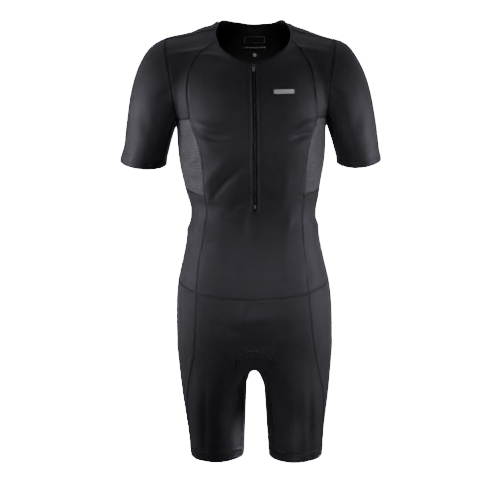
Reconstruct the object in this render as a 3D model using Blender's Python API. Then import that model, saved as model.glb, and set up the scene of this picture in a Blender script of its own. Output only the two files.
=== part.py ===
"""Triathlon suit: a hollow, filled-out one-piece garment with short sleeves and short legs.

Metres, +Z up, the chest faces -Y and the wearer's left arm is at +X. The origin lies in the neck
opening, NECK_RISE under the two neck points. Every panel is a closed thin wall cut from one skin,
so neighbouring panels share their seam line and stand SEAM_GAP apart.
"""
import math

import bmesh
import bpy
import numpy as np
from mathutils import Matrix, Vector

for old in list(bpy.data.objects):
    bpy.data.objects.remove(old, do_unlink=True)

NAME = "triathlon suit"
MM = 0.001

# ---------------------------------------------------------------- driving sizes, millimetres
NECK_RISE = 10.0          # neck points above the origin
WALL = 1.6                # thickness of the knitted cloth
SEAM_GAP = 0.3            # space between two panels at a seam
SLOT_HALF = 4.0           # half width of the zip slot and of the centre columns
BINDING_RAISE = 0.4       # how far the folded neck binding stands proud
TAPE_GAP = 0.35           # space between the zip tape and the wall in front of it
TAPE_THICK = 1.0
TAPE_REACH = 11.0         # outer edge of a zip tape from the centre line
TAPE_INNER = 0.3          # inner edge of a zip tape from the centre line
PAD_THICK = 4.0           # seat pad
PAD_GAP = 0.35

# columns of half a ring, and rows between the seams
FRONT_COLS, YOKE_COLS, UNDERARM_COLS, BACK_NECK_COLS = 6, 4, 3, 4
SIDE_COLS = YOKE_COLS + UNDERARM_COLS
BACK_COLS = BACK_NECK_COLS + YOKE_COLS
MESH_ROWS, SLOT_ROWS, WAIST_ROWS, HIP_ROWS = 8, 2, 8, 7
SLOT_END = MESH_ROWS + SLOT_ROWS
WAIST_SEAM = SLOT_END + WAIST_ROWS
TORSO_ROWS = WAIST_SEAM + HIP_ROWS
CHEST_ROWS, NECK_STEP_ROWS = 7, 2
UPPER_ROWS = CHEST_ROWS + NECK_STEP_ROWS
SLEEVE_ROWS, LEG_ROWS, CROTCH_COLS = 9, 9, 4

# Torso sections. drop: below the neck points; half: half width; front, back: depth from the
# y = 0 plane; mid: where the section is widest; power: 2 is an ellipse, more is squarer.
BODY = [
    # drop, half, front, back, mid, power
    (207, 165.0, 112, 112, 4, 2.35),
    (250, 162.0, 114, 111, 2, 2.35),
    (303, 157.0, 111, 104, 0, 2.35),
    (357, 145.6, 106, 95, -2, 2.35),
    (410, 135.8, 101, 88, -4, 2.35),
    (462, 144.5, 100, 88, -4, 2.30),
    (515, 155.6, 101, 96, -2, 2.25),
    (568, 167.0, 103, 108, 2, 2.25),
    (620, 170.5, 103, 119, 6, 2.25),
    (700, 171.7, 98, 122, 8, 2.25),
    (757, 168.5, 90, 112, 6, 2.25),
    (812, 163.0, 84, 98, 4, 2.20),
]
# Seams on the torso. front_x: the seam beside the front panel; back_share: the seam beside the
# back panel as a share of the half width.
SEAMS = [
    # drop, front_x, back_share
    (207, 133.5, 0.948),
    (230, 125.5, 0.935),
    (259, 115.5, 0.915),
    (300, 107.8, 0.890),
    (361, 104.6, 0.865),
    (416, 100.8, 0.850),
    (471, 106.0, 0.840),
    (520, 114.2, 0.830),
    (586, 119.3, 0.820),
    (683, 126.6, 0.810),
    (720, 131.0, 0.810),
]
# Rows that follow a seam right round the body: drop = mean + tilt cos(turn) + dip cos(2 turn),
# where turn is 0 at the centre front and 180 degrees at the centre back.
RING_ROWS = [
    # mean, tilt, dip
    (207.0, 0.0, 0.0),     # armpit
    (357.0, 18.0, 5.0),    # lower edge of the mesh panels
    (384.0, 11.0, 5.0),    # lower end of the zip slot
    (563.0, 17.0, 9.5),    # waist seam
    (700.0, 0.0, 0.0),     # where the legs begin
]
# Neck opening, centre front to centre back: the free edge and the seam under the binding.
NECK = [
    # edge_x, edge_y, edge_drop, seam_x, seam_y, seam_drop
    (4.0, -82.0, 93.5, 4.0, -84.5, 99.0),
    (31.0, -77.0, 85.5, 32.5, -79.5, 91.0),
    (55.0, -63.0, 71.0, 58.5, -65.5, 75.5),
    (73.5, -39.0, 52.0, 78.5, -40.5, 55.0),
    (79.0, -17.0, 35.0, 84.5, -17.5, 37.0),
    (77.0, -2.0, 23.0, 83.0, -3.0, 26.0),
    (71.5, 12.0, 8.5, 77.0, 12.5, 12.5),
    (64.5, 25.0, -1.5, 69.5, 26.5, 3.0),
    (45.0, 50.0, 0.3, 48.0, 54.0, 5.0),
    (22.0, 69.5, 2.2, 23.0, 74.0, 7.0),
    (4.0, 73.5, 2.8, 4.0, 78.0, 7.8),
]
CENTRE_FRONT = [
    # x, y, drop, from the armpit row up
    (4.0, -109.5, 170.0), (4.0, -100.0, 133.0), (4.0, -84.5, 99.0),
]
FRONT_SEAM = [
    (134.0, -76.5, 182.0), (133.0, -75.5, 157.0), (131.5, -71.0, 130.0), (128.5, -65.5, 108.0),
    (121.0, -58.5, 87.0), (106.0, -50.5, 68.0), (93.0, -42.5, 56.0), (81.0, -32.0, 48.5),
]
ARMHOLE_FRONT = [
    (161.5, -52.0, 187.0), (163.5, -62.0, 160.0), (167.5, -62.0, 128.0), (172.0, -54.0, 100.0),
    (177.0, -41.0, 76.0), (181.0, -25.0, 56.0), (180.0, -9.0, 43.0),
]
ARMHOLE_BACK = [
    (155.0, 66.0, 185.0), (157.0, 79.0, 158.0), (162.0, 81.0, 125.0), (168.0, 71.0, 92.0),
    (174.5, 51.0, 64.0), (179.0, 29.0, 44.0), (180.0, 9.0, 35.5), (180.0, -9.0, 43.0),
]
SHOULDER_SEAM = [
    (83.0, -3.0, 26.0), (110.0, -6.0, 31.0), (140.0, -8.0, 36.0), (162.0, -9.0, 40.0),
    (180.0, -9.0, 43.0),
]
SHOULDER_RIDGE = [
    (86.0, 17.0, 9.0), (108.0, 15.0, 16.5), (133.0, 13.0, 24.0), (160.0, 11.0, 30.0),
    (180.0, 9.0, 35.5),
]
CENTRE_BACK = [
    (4.0, 113.5, 165.0), (4.0, 109.5, 120.0), (4.0, 100.5, 75.0), (4.0, 88.5, 36.0),
    (4.0, 78.0, 7.5),
]
SHOULDER_BLADE = [
    (91.0, 106.0, 165.0), (92.0, 103.0, 125.0), (92.0, 90.0, 85.0), (91.0, 68.0, 52.0),
    (88.5, 43.0, 22.0), (86.0, 17.0, 9.0), (83.0, -3.0, 26.0),
]
# Askew: how far the front lies aside at each drop, how far the neck does, and what sinks by how much.
FRONT_ASIDE = [
    # drop, aside
    (60, 7.5), (97, 6.6), (215, 7.5), (300, 6.5), (390, 5.4), (430, 2.0), (480, -2.0), (525, -4.4),
    (580, -4.4), (640, -2.8), (700, -2.4), (760, -2.6), (860, -2.4), (954, -1.0),
]
NECK_ASIDE, SHOULDER_SINK, CROTCH_SINK, LEG_SINK = 7.5, 4.3, 6.5, 2.0
# Sleeve: the cuff ring and the pull of the cloth at both ends, at the cap and under the arm.
CUFF = dict(x=234.5, y=18.0, drop=298.5, half_wide=49.0, half_deep=58.0, lean_x=0.10, lean_y=0.24)
CAP_START, CAP_END = (249.0, 0.0, 38.0), (40.0, 45.0, 230.0)
UNDER_START, UNDER_END = (16.0, 0.0, 90.0), (20.0, 20.0, 90.0)
# Crotch line, from the centre front under the body to the centre back.
CROTCH = [
    # y, drop
    (-98.0, 700.0), (-96.5, 714.0), (-91.0, 728.0), (-76.0, 740.0), (-45.0, 748.0), (2.0, 751.5),
    (44.0, 750.5), (78.0, 744.0), (102.0, 731.0), (116.0, 715.0), (122.0, 700.0),
]
CROTCH_BOTTOM = 5
# Leg sections. seam_turn: degrees from the front at which the front seam runs down the leg.
LEG = [
    # drop, mid_x, half_wide, mid_y, half_deep, seam_turn
    (758, 92.0, 77.5, 8, 97, 52),
    (785, 91.0, 75.0, 6, 93, 55),
    (812, 90.5, 72.5, 5, 89, 57),
    (840, 90.0, 69.3, 3, 85, 60),
    (895, 88.0, 64.0, 1, 79, 66),
    (928, 87.6, 61.8, 0, 77, 68),
    (954, 87.2, 59.6, 0, 75, 70),
]
HEM_LINE, HEM_EDGE = 930.5, 952.3
LEG_SHARES = [0.0, 0.045, 0.12, 0.22, 0.34, 0.47, 0.60, 0.73, 0.87, 1.0]
BACK_SEAM_TURN = 126.0
# Broad folds of the filled garment, as ridges (+) and troughs (-) along the outward normal.
FOLDS = [
    # x, drop, side (-1 front, 1 back), angle, half_length, half_width, depth
    (128.0, 398.0, -1, 8.0, 45.0, 17.0, -2.6),
    (120.0, 438.0, -1, -12.0, 50.0, 18.0, 2.2),
    (60.0, 455.0, 1, 6.0, 70.0, 20.0, -3.0),
    (70.0, 495.0, 1, -4.0, 70.0, 20.0, 2.2),
    (150.0, 240.0, -1, 60.0, 34.0, 16.0, -2.2),
    (48.0, 724.0, -1, 35.0, 42.0, 16.0, -2.8),
    (62.0, 776.0, 1, 8.0, 50.0, 18.0, -3.2),
    (222.0, 214.0, -1, 12.0, 40.0, 17.0, -2.4),
]

# ---------------------------------------------------------------- small helpers


def at(x, y, drop):
    """Point from a width, a depth and a distance below the neck points, millimetres."""
    return np.array([x, y, NECK_RISE - drop]) * MM


def smooth_value(table, column, key):
    """Value of one column at key, with a soft cubic through the rows."""
    keys = [row[0] for row in table]
    vals = [row[column] for row in table]
    if key <= keys[0]:
        return float(vals[0])
    if key >= keys[-1]:
        return float(vals[-1])
    i = max(k for k in range(len(keys) - 1) if keys[k] <= key)
    step = keys[i + 1] - keys[i]

    def slope(k):
        if k == 0 or k == len(keys) - 1:
            return (vals[min(k + 1, len(keys) - 1)] - vals[max(k - 1, 0)]) / (
                keys[min(k + 1, len(keys) - 1)] - keys[max(k - 1, 0)])
        before = (vals[k] - vals[k - 1]) / (keys[k] - keys[k - 1])
        after = (vals[k + 1] - vals[k]) / (keys[k + 1] - keys[k])
        return 0.0 if before * after <= 0 else 2 * before * after / (before + after)

    t = (key - keys[i]) / step
    a, b = slope(i) * step, slope(i + 1) * step
    return float((2 * t**3 - 3 * t**2 + 1) * vals[i] + (t**3 - 2 * t**2 + t) * a
                 + (3 * t**2 - 2 * t**3) * vals[i + 1] + (t**3 - t**2) * b)


def curve(points, fine=24):
    """Dense smooth curve through the points, each an array of three."""
    pts = [np.asarray(p, float) for p in points]
    out = []
    for i in range(len(pts) - 1):
        p0 = pts[i - 1] if i else 2 * pts[0] - pts[1]
        p3 = pts[i + 2] if i + 2 < len(pts) else 2 * pts[-1] - pts[-2]
        p1, p2 = pts[i], pts[i + 1]
        d0, d1, d2 = (max(np.linalg.norm(b - a), 1e-9) ** 0.5 for a, b in ((p0, p1), (p1, p2), (p2, p3)))
        m1 = ((p1 - p0) / d0 - (p2 - p0) / (d0 + d1) + (p2 - p1) / d1) * d1
        m2 = ((p2 - p1) / d1 - (p3 - p1) / (d1 + d2) + (p3 - p2) / d2) * d1
        for k in range(fine):
            t = k / fine
            out.append((2 * t**3 - 3 * t**2 + 1) * p1 + (t**3 - 2 * t**2 + t) * m1
                       + (3 * t**2 - 2 * t**3) * p2 + (t**3 - t**2) * m2)
    out.append(pts[-1])
    return np.array(out)


def lengths(line):
    return np.concatenate([[0.0], np.cumsum(np.linalg.norm(np.diff(line, axis=0), axis=1))])


def point_at(line, far):
    run = lengths(line)
    return np.array([np.interp(far, run, line[:, k]) for k in range(3)])


def spaced(line, shares):
    """Points on a dense line at the given shares of its length."""
    total = lengths(line)[-1]
    return np.array([point_at(line, s * total) for s in shares])


def even(line, count):
    return spaced(line, np.linspace(0, 1, count + 1))


def patch(bottom, top, left, right):
    """Grid between four edges: bottom and top run left to right, left and right run upward."""
    rows, cols = len(left), len(bottom)
    u = np.linspace(0, 1, cols)[None, :, None]
    v = np.linspace(0, 1, rows)[:, None, None]
    across = left[:, None] * (1 - u) + right[:, None] * u
    along = bottom[None] * (1 - v) + top[None] * v
    corners = ((1 - u) * (1 - v) * bottom[0] + u * (1 - v) * bottom[-1]
               + (1 - u) * v * top[0] + u * v * top[-1])
    grid = across + along - corners
    grid[0], grid[-1], grid[:, 0], grid[:, -1] = bottom, top, left, right
    return grid


# ---------------------------------------------------------------- torso rings


def torso_point(turn, drop):
    half, front, back, mid, power = (smooth_value(BODY, c, drop) for c in range(1, 6))
    s, c = math.sin(turn), math.cos(turn)
    depth = front + mid if c > 0 else back - mid
    x = half * abs(s) ** (2 / power)
    y = mid - math.copysign(depth * abs(c) ** (2 / power), c)
    return at(x, y, drop)


def row_drop(row, turn):
    """Drop of a ring row at a turn: rows are spread between the rings that follow a seam."""
    spans = [0, MESH_ROWS, SLOT_END, WAIST_SEAM, TORSO_ROWS]
    rings = [m + t * math.cos(turn) + d * math.cos(2 * turn) for m, t, d in RING_ROWS]
    return float(np.interp(row, spans, rings))


def half_ring(row):
    turns = np.linspace(0, math.pi, 361)
    drops = [row_drop(row, t) for t in turns]
    line = np.array([torso_point(t, d) for t, d in zip(turns, drops)])
    run = lengths(line)
    x = line[:, 0] / MM
    seam = np.array([smooth_value(SEAMS, 1, d) for d in drops])
    share = np.array([smooth_value(SEAMS, 2, d) * smooth_value(BODY, 1, d) for d in drops])
    n = len(turns) // 2

    def crossing(gap):
        i = int(np.argmax(gap > 0))
        t = gap[i - 1] / (gap[i - 1] - gap[i])
        return run[i - 1] + t * (run[i] - run[i - 1])

    start = crossing(x - SLOT_HALF)
    front = crossing(x - seam)
    behind = np.concatenate([np.full(n, -1.0), (share - x)[n:]])
    back = crossing(behind)
    end = crossing(np.concatenate([np.full(n, -1.0), (SLOT_HALF - x)[n:]]))
    top = max(0.0, 1 - row / MESH_ROWS)
    at_armpit = np.concatenate([np.linspace(0, 0.36, YOKE_COLS + 1),
                                np.linspace(0.36, 1, UNDERARM_COLS + 1)[1:]])
    side = at_armpit * top + np.linspace(0, 1, SIDE_COLS + 1) * (1 - top)
    stops = np.concatenate([np.linspace(start, front, FRONT_COLS + 1), front + (back - front) * side[1:],
                            np.linspace(back, end, BACK_COLS + 1)[1:]])
    ring = np.array([point_at(line, s) for s in stops])
    ring[0, 0] = ring[-1, 0] = SLOT_HALF * MM
    return ring


torso = np.array([half_ring(r) for r in range(TORSO_ROWS + 1)])
COL_FRONT, COL_ARM, COL_BACK = FRONT_COLS, FRONT_COLS + YOKE_COLS, FRONT_COLS + SIDE_COLS
COL_END = COL_BACK + BACK_COLS

# ---------------------------------------------------------------- upper body patches


def rising(start, table):
    return curve([start] + [at(*row) for row in table])


neck_seam = curve([at(*row[3:]) for row in NECK])
neck_edge = curve([at(*row[:3]) for row in NECK])
run = lengths(neck_seam)


def nearest(line, spot):
    return lengths(line)[int(np.argmin(np.linalg.norm(line - spot, axis=1)))]


stop_front = nearest(neck_seam, at(*FRONT_SEAM[-1]))
stop_shoulder = nearest(neck_seam, at(*SHOULDER_SEAM[0]))
stop_peak = nearest(neck_seam, at(69.5, 26.5, 3.0))
neck_stops = np.concatenate([np.linspace(0, stop_front, FRONT_COLS + 1),
                             np.linspace(stop_front, stop_shoulder, NECK_STEP_ROWS + 1)[1:],
                             np.linspace(stop_peak, run[-1], BACK_NECK_COLS)])
neck = np.array([point_at(neck_seam, s) for s in neck_stops])
neck_free = []
for spot in neck:
    near = neck_edge[np.argmin(np.linalg.norm(neck_edge - spot, axis=1))]
    neck_free.append(near)
neck_free = np.array(neck_free)
neck[0, 0] = neck[-1, 0] = neck_free[0, 0] = neck_free[-1, 0] = SLOT_HALF * MM
at_front, at_shoulder = FRONT_COLS, FRONT_COLS + NECK_STEP_ROWS

centre_front = even(rising(torso[0, 0], CENTRE_FRONT), CHEST_ROWS)
centre_front[-1] = neck[0]
front_seam = even(rising(torso[0, COL_FRONT], FRONT_SEAM), CHEST_ROWS)
front_seam[-1] = neck[at_front]
armhole_front = even(rising(torso[0, COL_ARM], ARMHOLE_FRONT), UPPER_ROWS)
armhole_back = even(rising(torso[0, COL_BACK], ARMHOLE_BACK[:-1]), UPPER_ROWS - 1)
armhole_back = np.vstack([armhole_back, armhole_front[-1]])
shoulder = even(curve([at(*row) for row in SHOULDER_SEAM]), YOKE_COLS)
shoulder[0], shoulder[-1] = neck[at_shoulder], armhole_front[-1]
centre_back = even(rising(torso[0, COL_END], CENTRE_BACK), UPPER_ROWS)
centre_back[-1] = neck[-1]

chest = patch(torso[0, :COL_FRONT + 1], neck[:at_front + 1], centre_front, front_seam)
yoke = patch(torso[0, COL_FRONT:COL_ARM + 1], shoulder,
             np.vstack([front_seam, neck[at_front + 1:at_shoulder + 1]]), armhole_front)
back_top = np.vstack([shoulder[::-1], neck[at_shoulder + 1:]])
blade_col = COL_BACK + YOKE_COLS
blade = even(rising(torso[0, blade_col], SHOULDER_BLADE), UPPER_ROWS)
blade[-1] = shoulder[0]
upper_back = np.hstack([
    patch(torso[0, COL_BACK:blade_col + 1], back_top[:YOKE_COLS + 1], armhole_back, blade),
    patch(torso[0, blade_col:], back_top[YOKE_COLS:], blade, centre_back)[:, 1:]])
ridge = spaced(curve([at(*row) for row in SHOULDER_RIDGE]), np.linspace(1, 0, YOKE_COLS + 1))
upper_back[UPPER_ROWS - 1, :YOKE_COLS + 1] = ridge

# ---------------------------------------------------------------- sleeve

armhole = np.vstack([torso[0, COL_ARM:COL_BACK + 1][::-1][1:-1], armhole_front, armhole_back[::-1][1:]])
arm_far = lengths(np.vstack([armhole, armhole[:1]]))
under_mid = (arm_far[0] + arm_far[UNDERARM_COLS - 2]) / 2
turns = [(f - under_mid) / arm_far[-1] * 2 * math.pi for f in arm_far[:-1]]


def hermite(p0, p1, t0, t1, t):
    return ((2 * t**3 - 3 * t**2 + 1) * p0 + (t**3 - 2 * t**2 + t) * t0
            + (3 * t**2 - 2 * t**3) * p1 + (t**3 - t**2) * t1)


def pull(vec):
    return np.array([vec[0], vec[1], -vec[2]]) * MM


sleeve = np.zeros((SLEEVE_ROWS + 1, len(armhole), 3))
for j, turn in enumerate(turns):
    outer = (1 - math.cos(turn)) / 2
    dx, dy = -CUFF["half_wide"] * math.cos(turn), -CUFF["half_deep"] * math.sin(turn)
    end = at(CUFF["x"] + dx, CUFF["y"] + dy, CUFF["drop"] - CUFF["lean_x"] * dx - CUFF["lean_y"] * dy)
    go = pull(CAP_START) * outer + pull(UNDER_START) * (1 - outer)
    come = pull(CAP_END) * outer + pull(UNDER_END) * (1 - outer)
    for r in range(SLEEVE_ROWS + 1):
        t = r / SLEEVE_ROWS
        sleeve[r, j] = hermite(armhole[j], end, go, come, t)
sleeve[0] = armhole

# ---------------------------------------------------------------- legs

crotch_line = [at(SLOT_HALF, y, drop) for y, drop in CROTCH]
crotch_front = even(curve(crotch_line[:CROTCH_BOTTOM + 1]), CROTCH_COLS)
crotch_back = even(curve(crotch_line[CROTCH_BOTTOM:]), CROTCH_COLS)
hip_end = torso[TORSO_ROWS]
crotch_front[0], crotch_back[-1] = hip_end[0], hip_end[-1]
leg_top = np.vstack([crotch_front[::-1], hip_end[1:], crotch_back[::-1][1:-1]])
LEG_COLS = len(leg_top)
LEG_FRONT, LEG_SIDE = CROTCH_COLS + FRONT_COLS, CROTCH_COLS + FRONT_COLS + SIDE_COLS


def leg_turn(j, drop):
    """Turn of a leg column in degrees: -90 at the inseam, 0 in front, 90 outside, 180 behind."""
    seam = smooth_value(LEG, 5, drop)
    if j <= LEG_FRONT:
        return -90 + (seam + 90) * j / LEG_FRONT
    if j <= LEG_SIDE:
        return seam + (BACK_SEAM_TURN - seam) * (j - LEG_FRONT) / SIDE_COLS
    return BACK_SEAM_TURN + (270 - BACK_SEAM_TURN) * (j - LEG_SIDE) / (LEG_COLS - LEG_SIDE)


def leg_point(j, drop):
    mid_x, wide, mid_y, deep = (smooth_value(LEG, c, drop) for c in range(1, 5))
    a = math.radians(leg_turn(j, drop))
    return at(mid_x + wide * math.sin(a), mid_y - deep * math.cos(a), drop)


def drop_of(point):
    return NECK_RISE - point[2] / MM


legs = np.zeros((LEG_ROWS + 2, LEG_COLS, 3))
for j in range(LEG_COLS):
    top_point = leg_top[j]
    top_drop = drop_of(top_point)
    below = leg_point(j, 840.0)
    if CROTCH_COLS <= j <= CROTCH_COLS + COL_END:  # a column that goes on down from the hip
        lead = (top_point - torso[TORSO_ROWS - 1, j - CROTCH_COLS])
        lead = lead / np.linalg.norm(lead) * (840.0 - top_drop) * MM
    else:
        aside = abs(j if j < CROTCH_COLS else j - LEG_COLS) / CROTCH_COLS
        lead = pull((52.0 * (1 - aside**1.5), 0.0, 8.0 + 100.0 * aside))
    follow = (leg_point(j, 850.0) - leg_point(j, 830.0)) / 20.0 * (840.0 - top_drop)
    for r in range(LEG_ROWS + 1):
        drop = top_drop + (HEM_LINE - top_drop) * LEG_SHARES[r]
        if drop < 840.0:
            legs[r, j] = hermite(top_point, below, lead, follow, (drop - top_drop) / (840.0 - top_drop))
        else:
            legs[r, j] = leg_point(j, drop)
    legs[LEG_ROWS + 1, j] = leg_point(j, HEM_EDGE)
legs[0] = leg_top

# ---------------------------------------------------------------- one skin from all the grids


class Skin:
    """Vertices and four-sided faces; every face belongs to a named panel."""

    def __init__(self):
        self.points, self.index, self.faces, self.panels, self.keep = [], {}, [], [], []

    def vertex(self, point):
        key = tuple(np.round(point, 7))
        if key not in self.index:
            self.index[key] = len(self.points)
            self.points.append(np.array(point, float))
        return self.index[key]

    def add(self, corners, panel):
        ids = [self.vertex(p) for p in corners]
        if len(set(ids)) == len(ids):
            self.faces.append(ids)
            self.panels.append(panel)

    def grid(self, grid, panel_of, flip=False, wrap=False):
        rows, cols = grid.shape[:2]
        for r in range(rows - 1):
            for c in range(cols if wrap else cols - 1):
                d = (c + 1) % cols
                quad = [grid[r, c], grid[r, d], grid[r + 1, d], grid[r + 1, c]]
                if flip:
                    quad.reverse()
                name = panel_of(r, c)
                if name:
                    self.both(quad, name)

    def both(self, quad, name):
        self.add(quad, name.replace("SIDE", "left"))
        mirrored = [p * np.array([-1, 1, 1]) for p in reversed(quad)]
        self.add(mirrored, name.replace("SIDE", "right"))

    def centre(self, column, panel_of, flip=False):
        """Narrow strip across the centre plane beside a column of points at x = SLOT_HALF."""
        other = column * np.array([-1, 1, 1])
        for r in range(len(column) - 1):
            quad = [other[r], column[r], column[r + 1], other[r + 1]]
            if flip:
                quad.reverse()
            name = panel_of(r)
            if name:
                self.add(quad, name)


skin = Skin()


def torso_panel(row, col):
    upper = row < MESH_ROWS
    shorts = row >= WAIST_SEAM
    if col < COL_FRONT:
        return "shorts_front" if shorts else "front_panel"
    if col < COL_BACK:
        return "leg_side_SIDE" if shorts else ("mesh_SIDE" if upper else "side_SIDE")
    return "shorts_back" if shorts else "back_panel"


def leg_panel(row, col):
    if row == LEG_ROWS:
        return "hem_band_SIDE"
    if col < LEG_FRONT:
        return "shorts_front"
    return "leg_side_SIDE" if col < LEG_SIDE else "shorts_back"


skin.grid(torso, torso_panel, flip=True)
skin.grid(chest, lambda r, c: "front_panel")
skin.grid(yoke, lambda r, c: "shoulder_SIDE")
skin.grid(upper_back, lambda r, c: "back_panel")
skin.grid(sleeve, lambda r, c: "sleeve_SIDE", flip=True, wrap=True)
skin.grid(legs, leg_panel, flip=True, wrap=True)
skin.grid(np.array([neck, neck_free]), lambda r, c: "neck_binding")
front_column = torso[:, 0]
skin.centre(front_column, lambda r: None if r < SLOT_END else
            ("shorts_front" if r >= WAIST_SEAM else "front_panel"), flip=True)
skin.centre(torso[:, -1], lambda r: "shorts_back" if r >= WAIST_SEAM else "back_panel")
skin.centre(centre_back, lambda r: "back_panel", flip=True)
skin.centre(np.array([neck[-1], neck_free[-1]]), lambda r: "neck_binding", flip=True)
skin.centre(crotch_front, lambda r: "shorts_front", flip=True)
skin.centre(crotch_back, lambda r: "shorts_back", flip=True)

points = np.array(skin.points)
faces = skin.faces


def ids_of(grid_line):
    return [skin.index[tuple(np.round(p, 7))] for p in grid_line]


zip_inner = ids_of(torso[SLOT_END + 1::-1, 0]) + ids_of(centre_front[1:]) + ids_of(neck_free[:1])
zip_outer = ids_of(torso[SLOT_END + 1::-1, 1]) + ids_of(chest[1:, 1]) + ids_of(neck_free[1:2])

# ---------------------------------------------------------------- evening out the skin

uses = {}
for f in faces:
    for a, b in zip(f, f[1:] + f[:1]):
        uses[(min(a, b), max(a, b))] = uses.get((min(a, b), max(a, b)), 0) + 1
count = len(points)
border = {v for e, n in uses.items() if n == 1 for v in e}
underarm = set(ids_of(torso[0, COL_ARM:COL_BACK + 1]))
underarm |= set(ids_of(torso[0, COL_ARM:COL_BACK + 1] * np.array([-1, 1, 1])))

links = np.array(sorted(uses))
pull_of = 1.0 / np.maximum(np.linalg.norm(points[links[:, 0]] - points[links[:, 1]], axis=1), 1e-5)
heads = np.concatenate([links[:, 0], links[:, 1]])
tails = np.concatenate([links[:, 1], links[:, 0]])
pulls = np.concatenate([pull_of, pull_of])
pulls = pulls / np.bincount(heads, pulls, count)[heads]
free_to_bend = np.ones(count)
free_to_bend[list(border | underarm)] = 0.0


def gathered(index, values):
    return np.stack([np.bincount(index, values[:, k], count) for k in range(3)], axis=1)


def bend(x):
    """Distance of every vertex from the mean of its neighbours."""
    return (gathered(heads, pulls[:, None] * x[tails]) - x) * free_to_bend[:, None]


def bend_back(y):
    y = y * free_to_bend[:, None]
    return gathered(tails, pulls[:, None] * y[heads]) - y


def hold(weights, line, value):
    for p in np.asarray(line).reshape(-1, 3):
        for sign in (1, -1):
            v = skin.index.get(tuple(np.round(p * np.array([sign, 1, 1]), 7)))
            if v is not None:
                weights[v] = value


weights = np.full(count, 0.03)
hold(weights, torso, 0.6)
hold(weights, sleeve, 0.10)
hold(weights, legs, 0.25)
hold(weights, legs[:5, :CROTCH_COLS + 3], 0.006)
hold(weights, legs[:5, -CROTCH_COLS - 3:], 0.006)
hold(weights, torso[-3:, :2], 0.02)
hold(weights, torso[-3:, -2:], 0.02)
hold(weights, legs[:5, :1], 1.0)
hold(weights, upper_back, 0.008)
for line, value in ((front_seam, 0.5), (shoulder, 0.5), (ridge, 0.3), (ridge[2:], 3.0), (centre_front, 0.5),
                    (armhole_front, 0.5)):
    hold(weights, line, value)
hold(weights, legs[LEG_ROWS], 2.0)
for v in border | underarm:
    weights[v] = 50.0


def stiffness(x):
    return bend_back(bend(x)) + weights[:, None] * x


aim = weights[:, None] * points
gap_left = aim - stiffness(points)
step = gap_left / (1.0 + weights[:, None])
size = (gap_left * step).sum(axis=0)
for _ in range(400):
    response = stiffness(step)
    rate = size / np.maximum((step * response).sum(axis=0), 1e-30)
    points = points + rate * step
    gap_left = gap_left - rate * response
    scaled = gap_left / (1.0 + weights[:, None])
    size_next = (gap_left * scaled).sum(axis=0)
    step = scaled + size_next / np.maximum(size, 1e-30) * step
    size = size_next
    if size.max() < 1e-16:
        break


def vertex_normals(pts):
    out = np.zeros_like(pts)
    for f in faces:
        a, b, c, d = (pts[i] for i in f)
        n = np.cross(c - a, d - b)
        for i in f:
            out[i] += n
    return out / np.linalg.norm(out, axis=1)[:, None]


normals = vertex_normals(points)
moved = points.copy()
for x, drop, side, angle, half_length, half_width, depth in FOLDS:
    ca, sa = math.cos(math.radians(angle)), math.sin(math.radians(angle))
    for v in range(count):
        if v in border or points[v, 1] * side < 0:
            continue
        dx = abs(points[v, 0]) / MM - x
        dz = drop - (NECK_RISE - points[v, 2] / MM)
        along, across = (dx * ca + dz * sa) / half_length, (dz * ca - dx * sa) / half_width
        if abs(along) < 2.5 and abs(across) < 2.5:
            moved[v] += normals[v] * depth * MM * math.exp(-along**2 - across**2)
points = moved
normals = vertex_normals(points)

# ---------------------------------------------------------------- closed walls from the skin

garment = bpy.data.collections.new(NAME)
bpy.context.scene.collection.children.link(garment)
cutters = bpy.data.collections.new(NAME + " cutters")
bpy.context.scene.collection.children.link(cutters)


def material(name, colour, rough, metallic=0.0):
    mat = bpy.data.materials.new(name)
    mat.use_nodes = True
    shader = mat.node_tree.nodes["Principled BSDF"]
    shader.inputs["Base Color"].default_value = (*colour, 1.0)
    shader.inputs["Roughness"].default_value = rough
    shader.inputs["Metallic"].default_value = metallic
    return mat


BLACK, MESH_GREY, METAL = (0.018, 0.018, 0.021), (0.075, 0.075, 0.082), (0.25, 0.25, 0.27)


def new_object(name, verts, polys, colour=BLACK, rough=0.75, metallic=0.0, home=None):
    mesh = bpy.data.meshes.new(name)
    mesh.from_pydata([tuple(v) for v in verts], [], [tuple(p) for p in polys])
    mesh.update()
    obj = bpy.data.objects.new(name, mesh)
    mesh.materials.append(material(name + " material", colour, rough, metallic))
    (home or garment).objects.link(obj)
    return obj


def part_normals(of_sleeve):
    out = np.zeros_like(points)
    for f, panel in zip(faces, skin.panels):
        if panel.startswith("sleeve") == of_sleeve:
            a, b, c, d = (points[i] for i in f)
            for i in f:
                out[i] += np.cross(c - a, d - b)
    size = np.linalg.norm(out, axis=1)
    return out / np.maximum(size, 1e-12)[:, None], size > 0


# Where a sleeve folds down beside the body, the two walls follow their own normals.
body_normals, in_body = part_normals(False)
sleeve_normals, in_sleeve = part_normals(True)
body_field, sleeve_field = normals.copy(), normals.copy()
for v in np.flatnonzero(in_body & in_sleeve):
    folded = 0.75 - float(body_normals[v] @ sleeve_normals[v])
    share = min(max(folded / 0.5, 0.0), 1.0)
    for field, own in ((body_field, body_normals), (sleeve_field, sleeve_normals)):
        blend = normals[v] * (1 - share) + own[v] * share
        field[v] = blend / np.linalg.norm(blend)


def split(face):
    """Two triangles of a four-sided face, along its shorter diagonal."""
    a, b, c, d = face
    first = np.linalg.norm(points[a] - points[c]) - np.linalg.norm(points[b] - points[d])
    return [(a, b, c), (a, c, d)] if first < -1e-6 else [(a, b, d), (b, c, d)]


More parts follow.
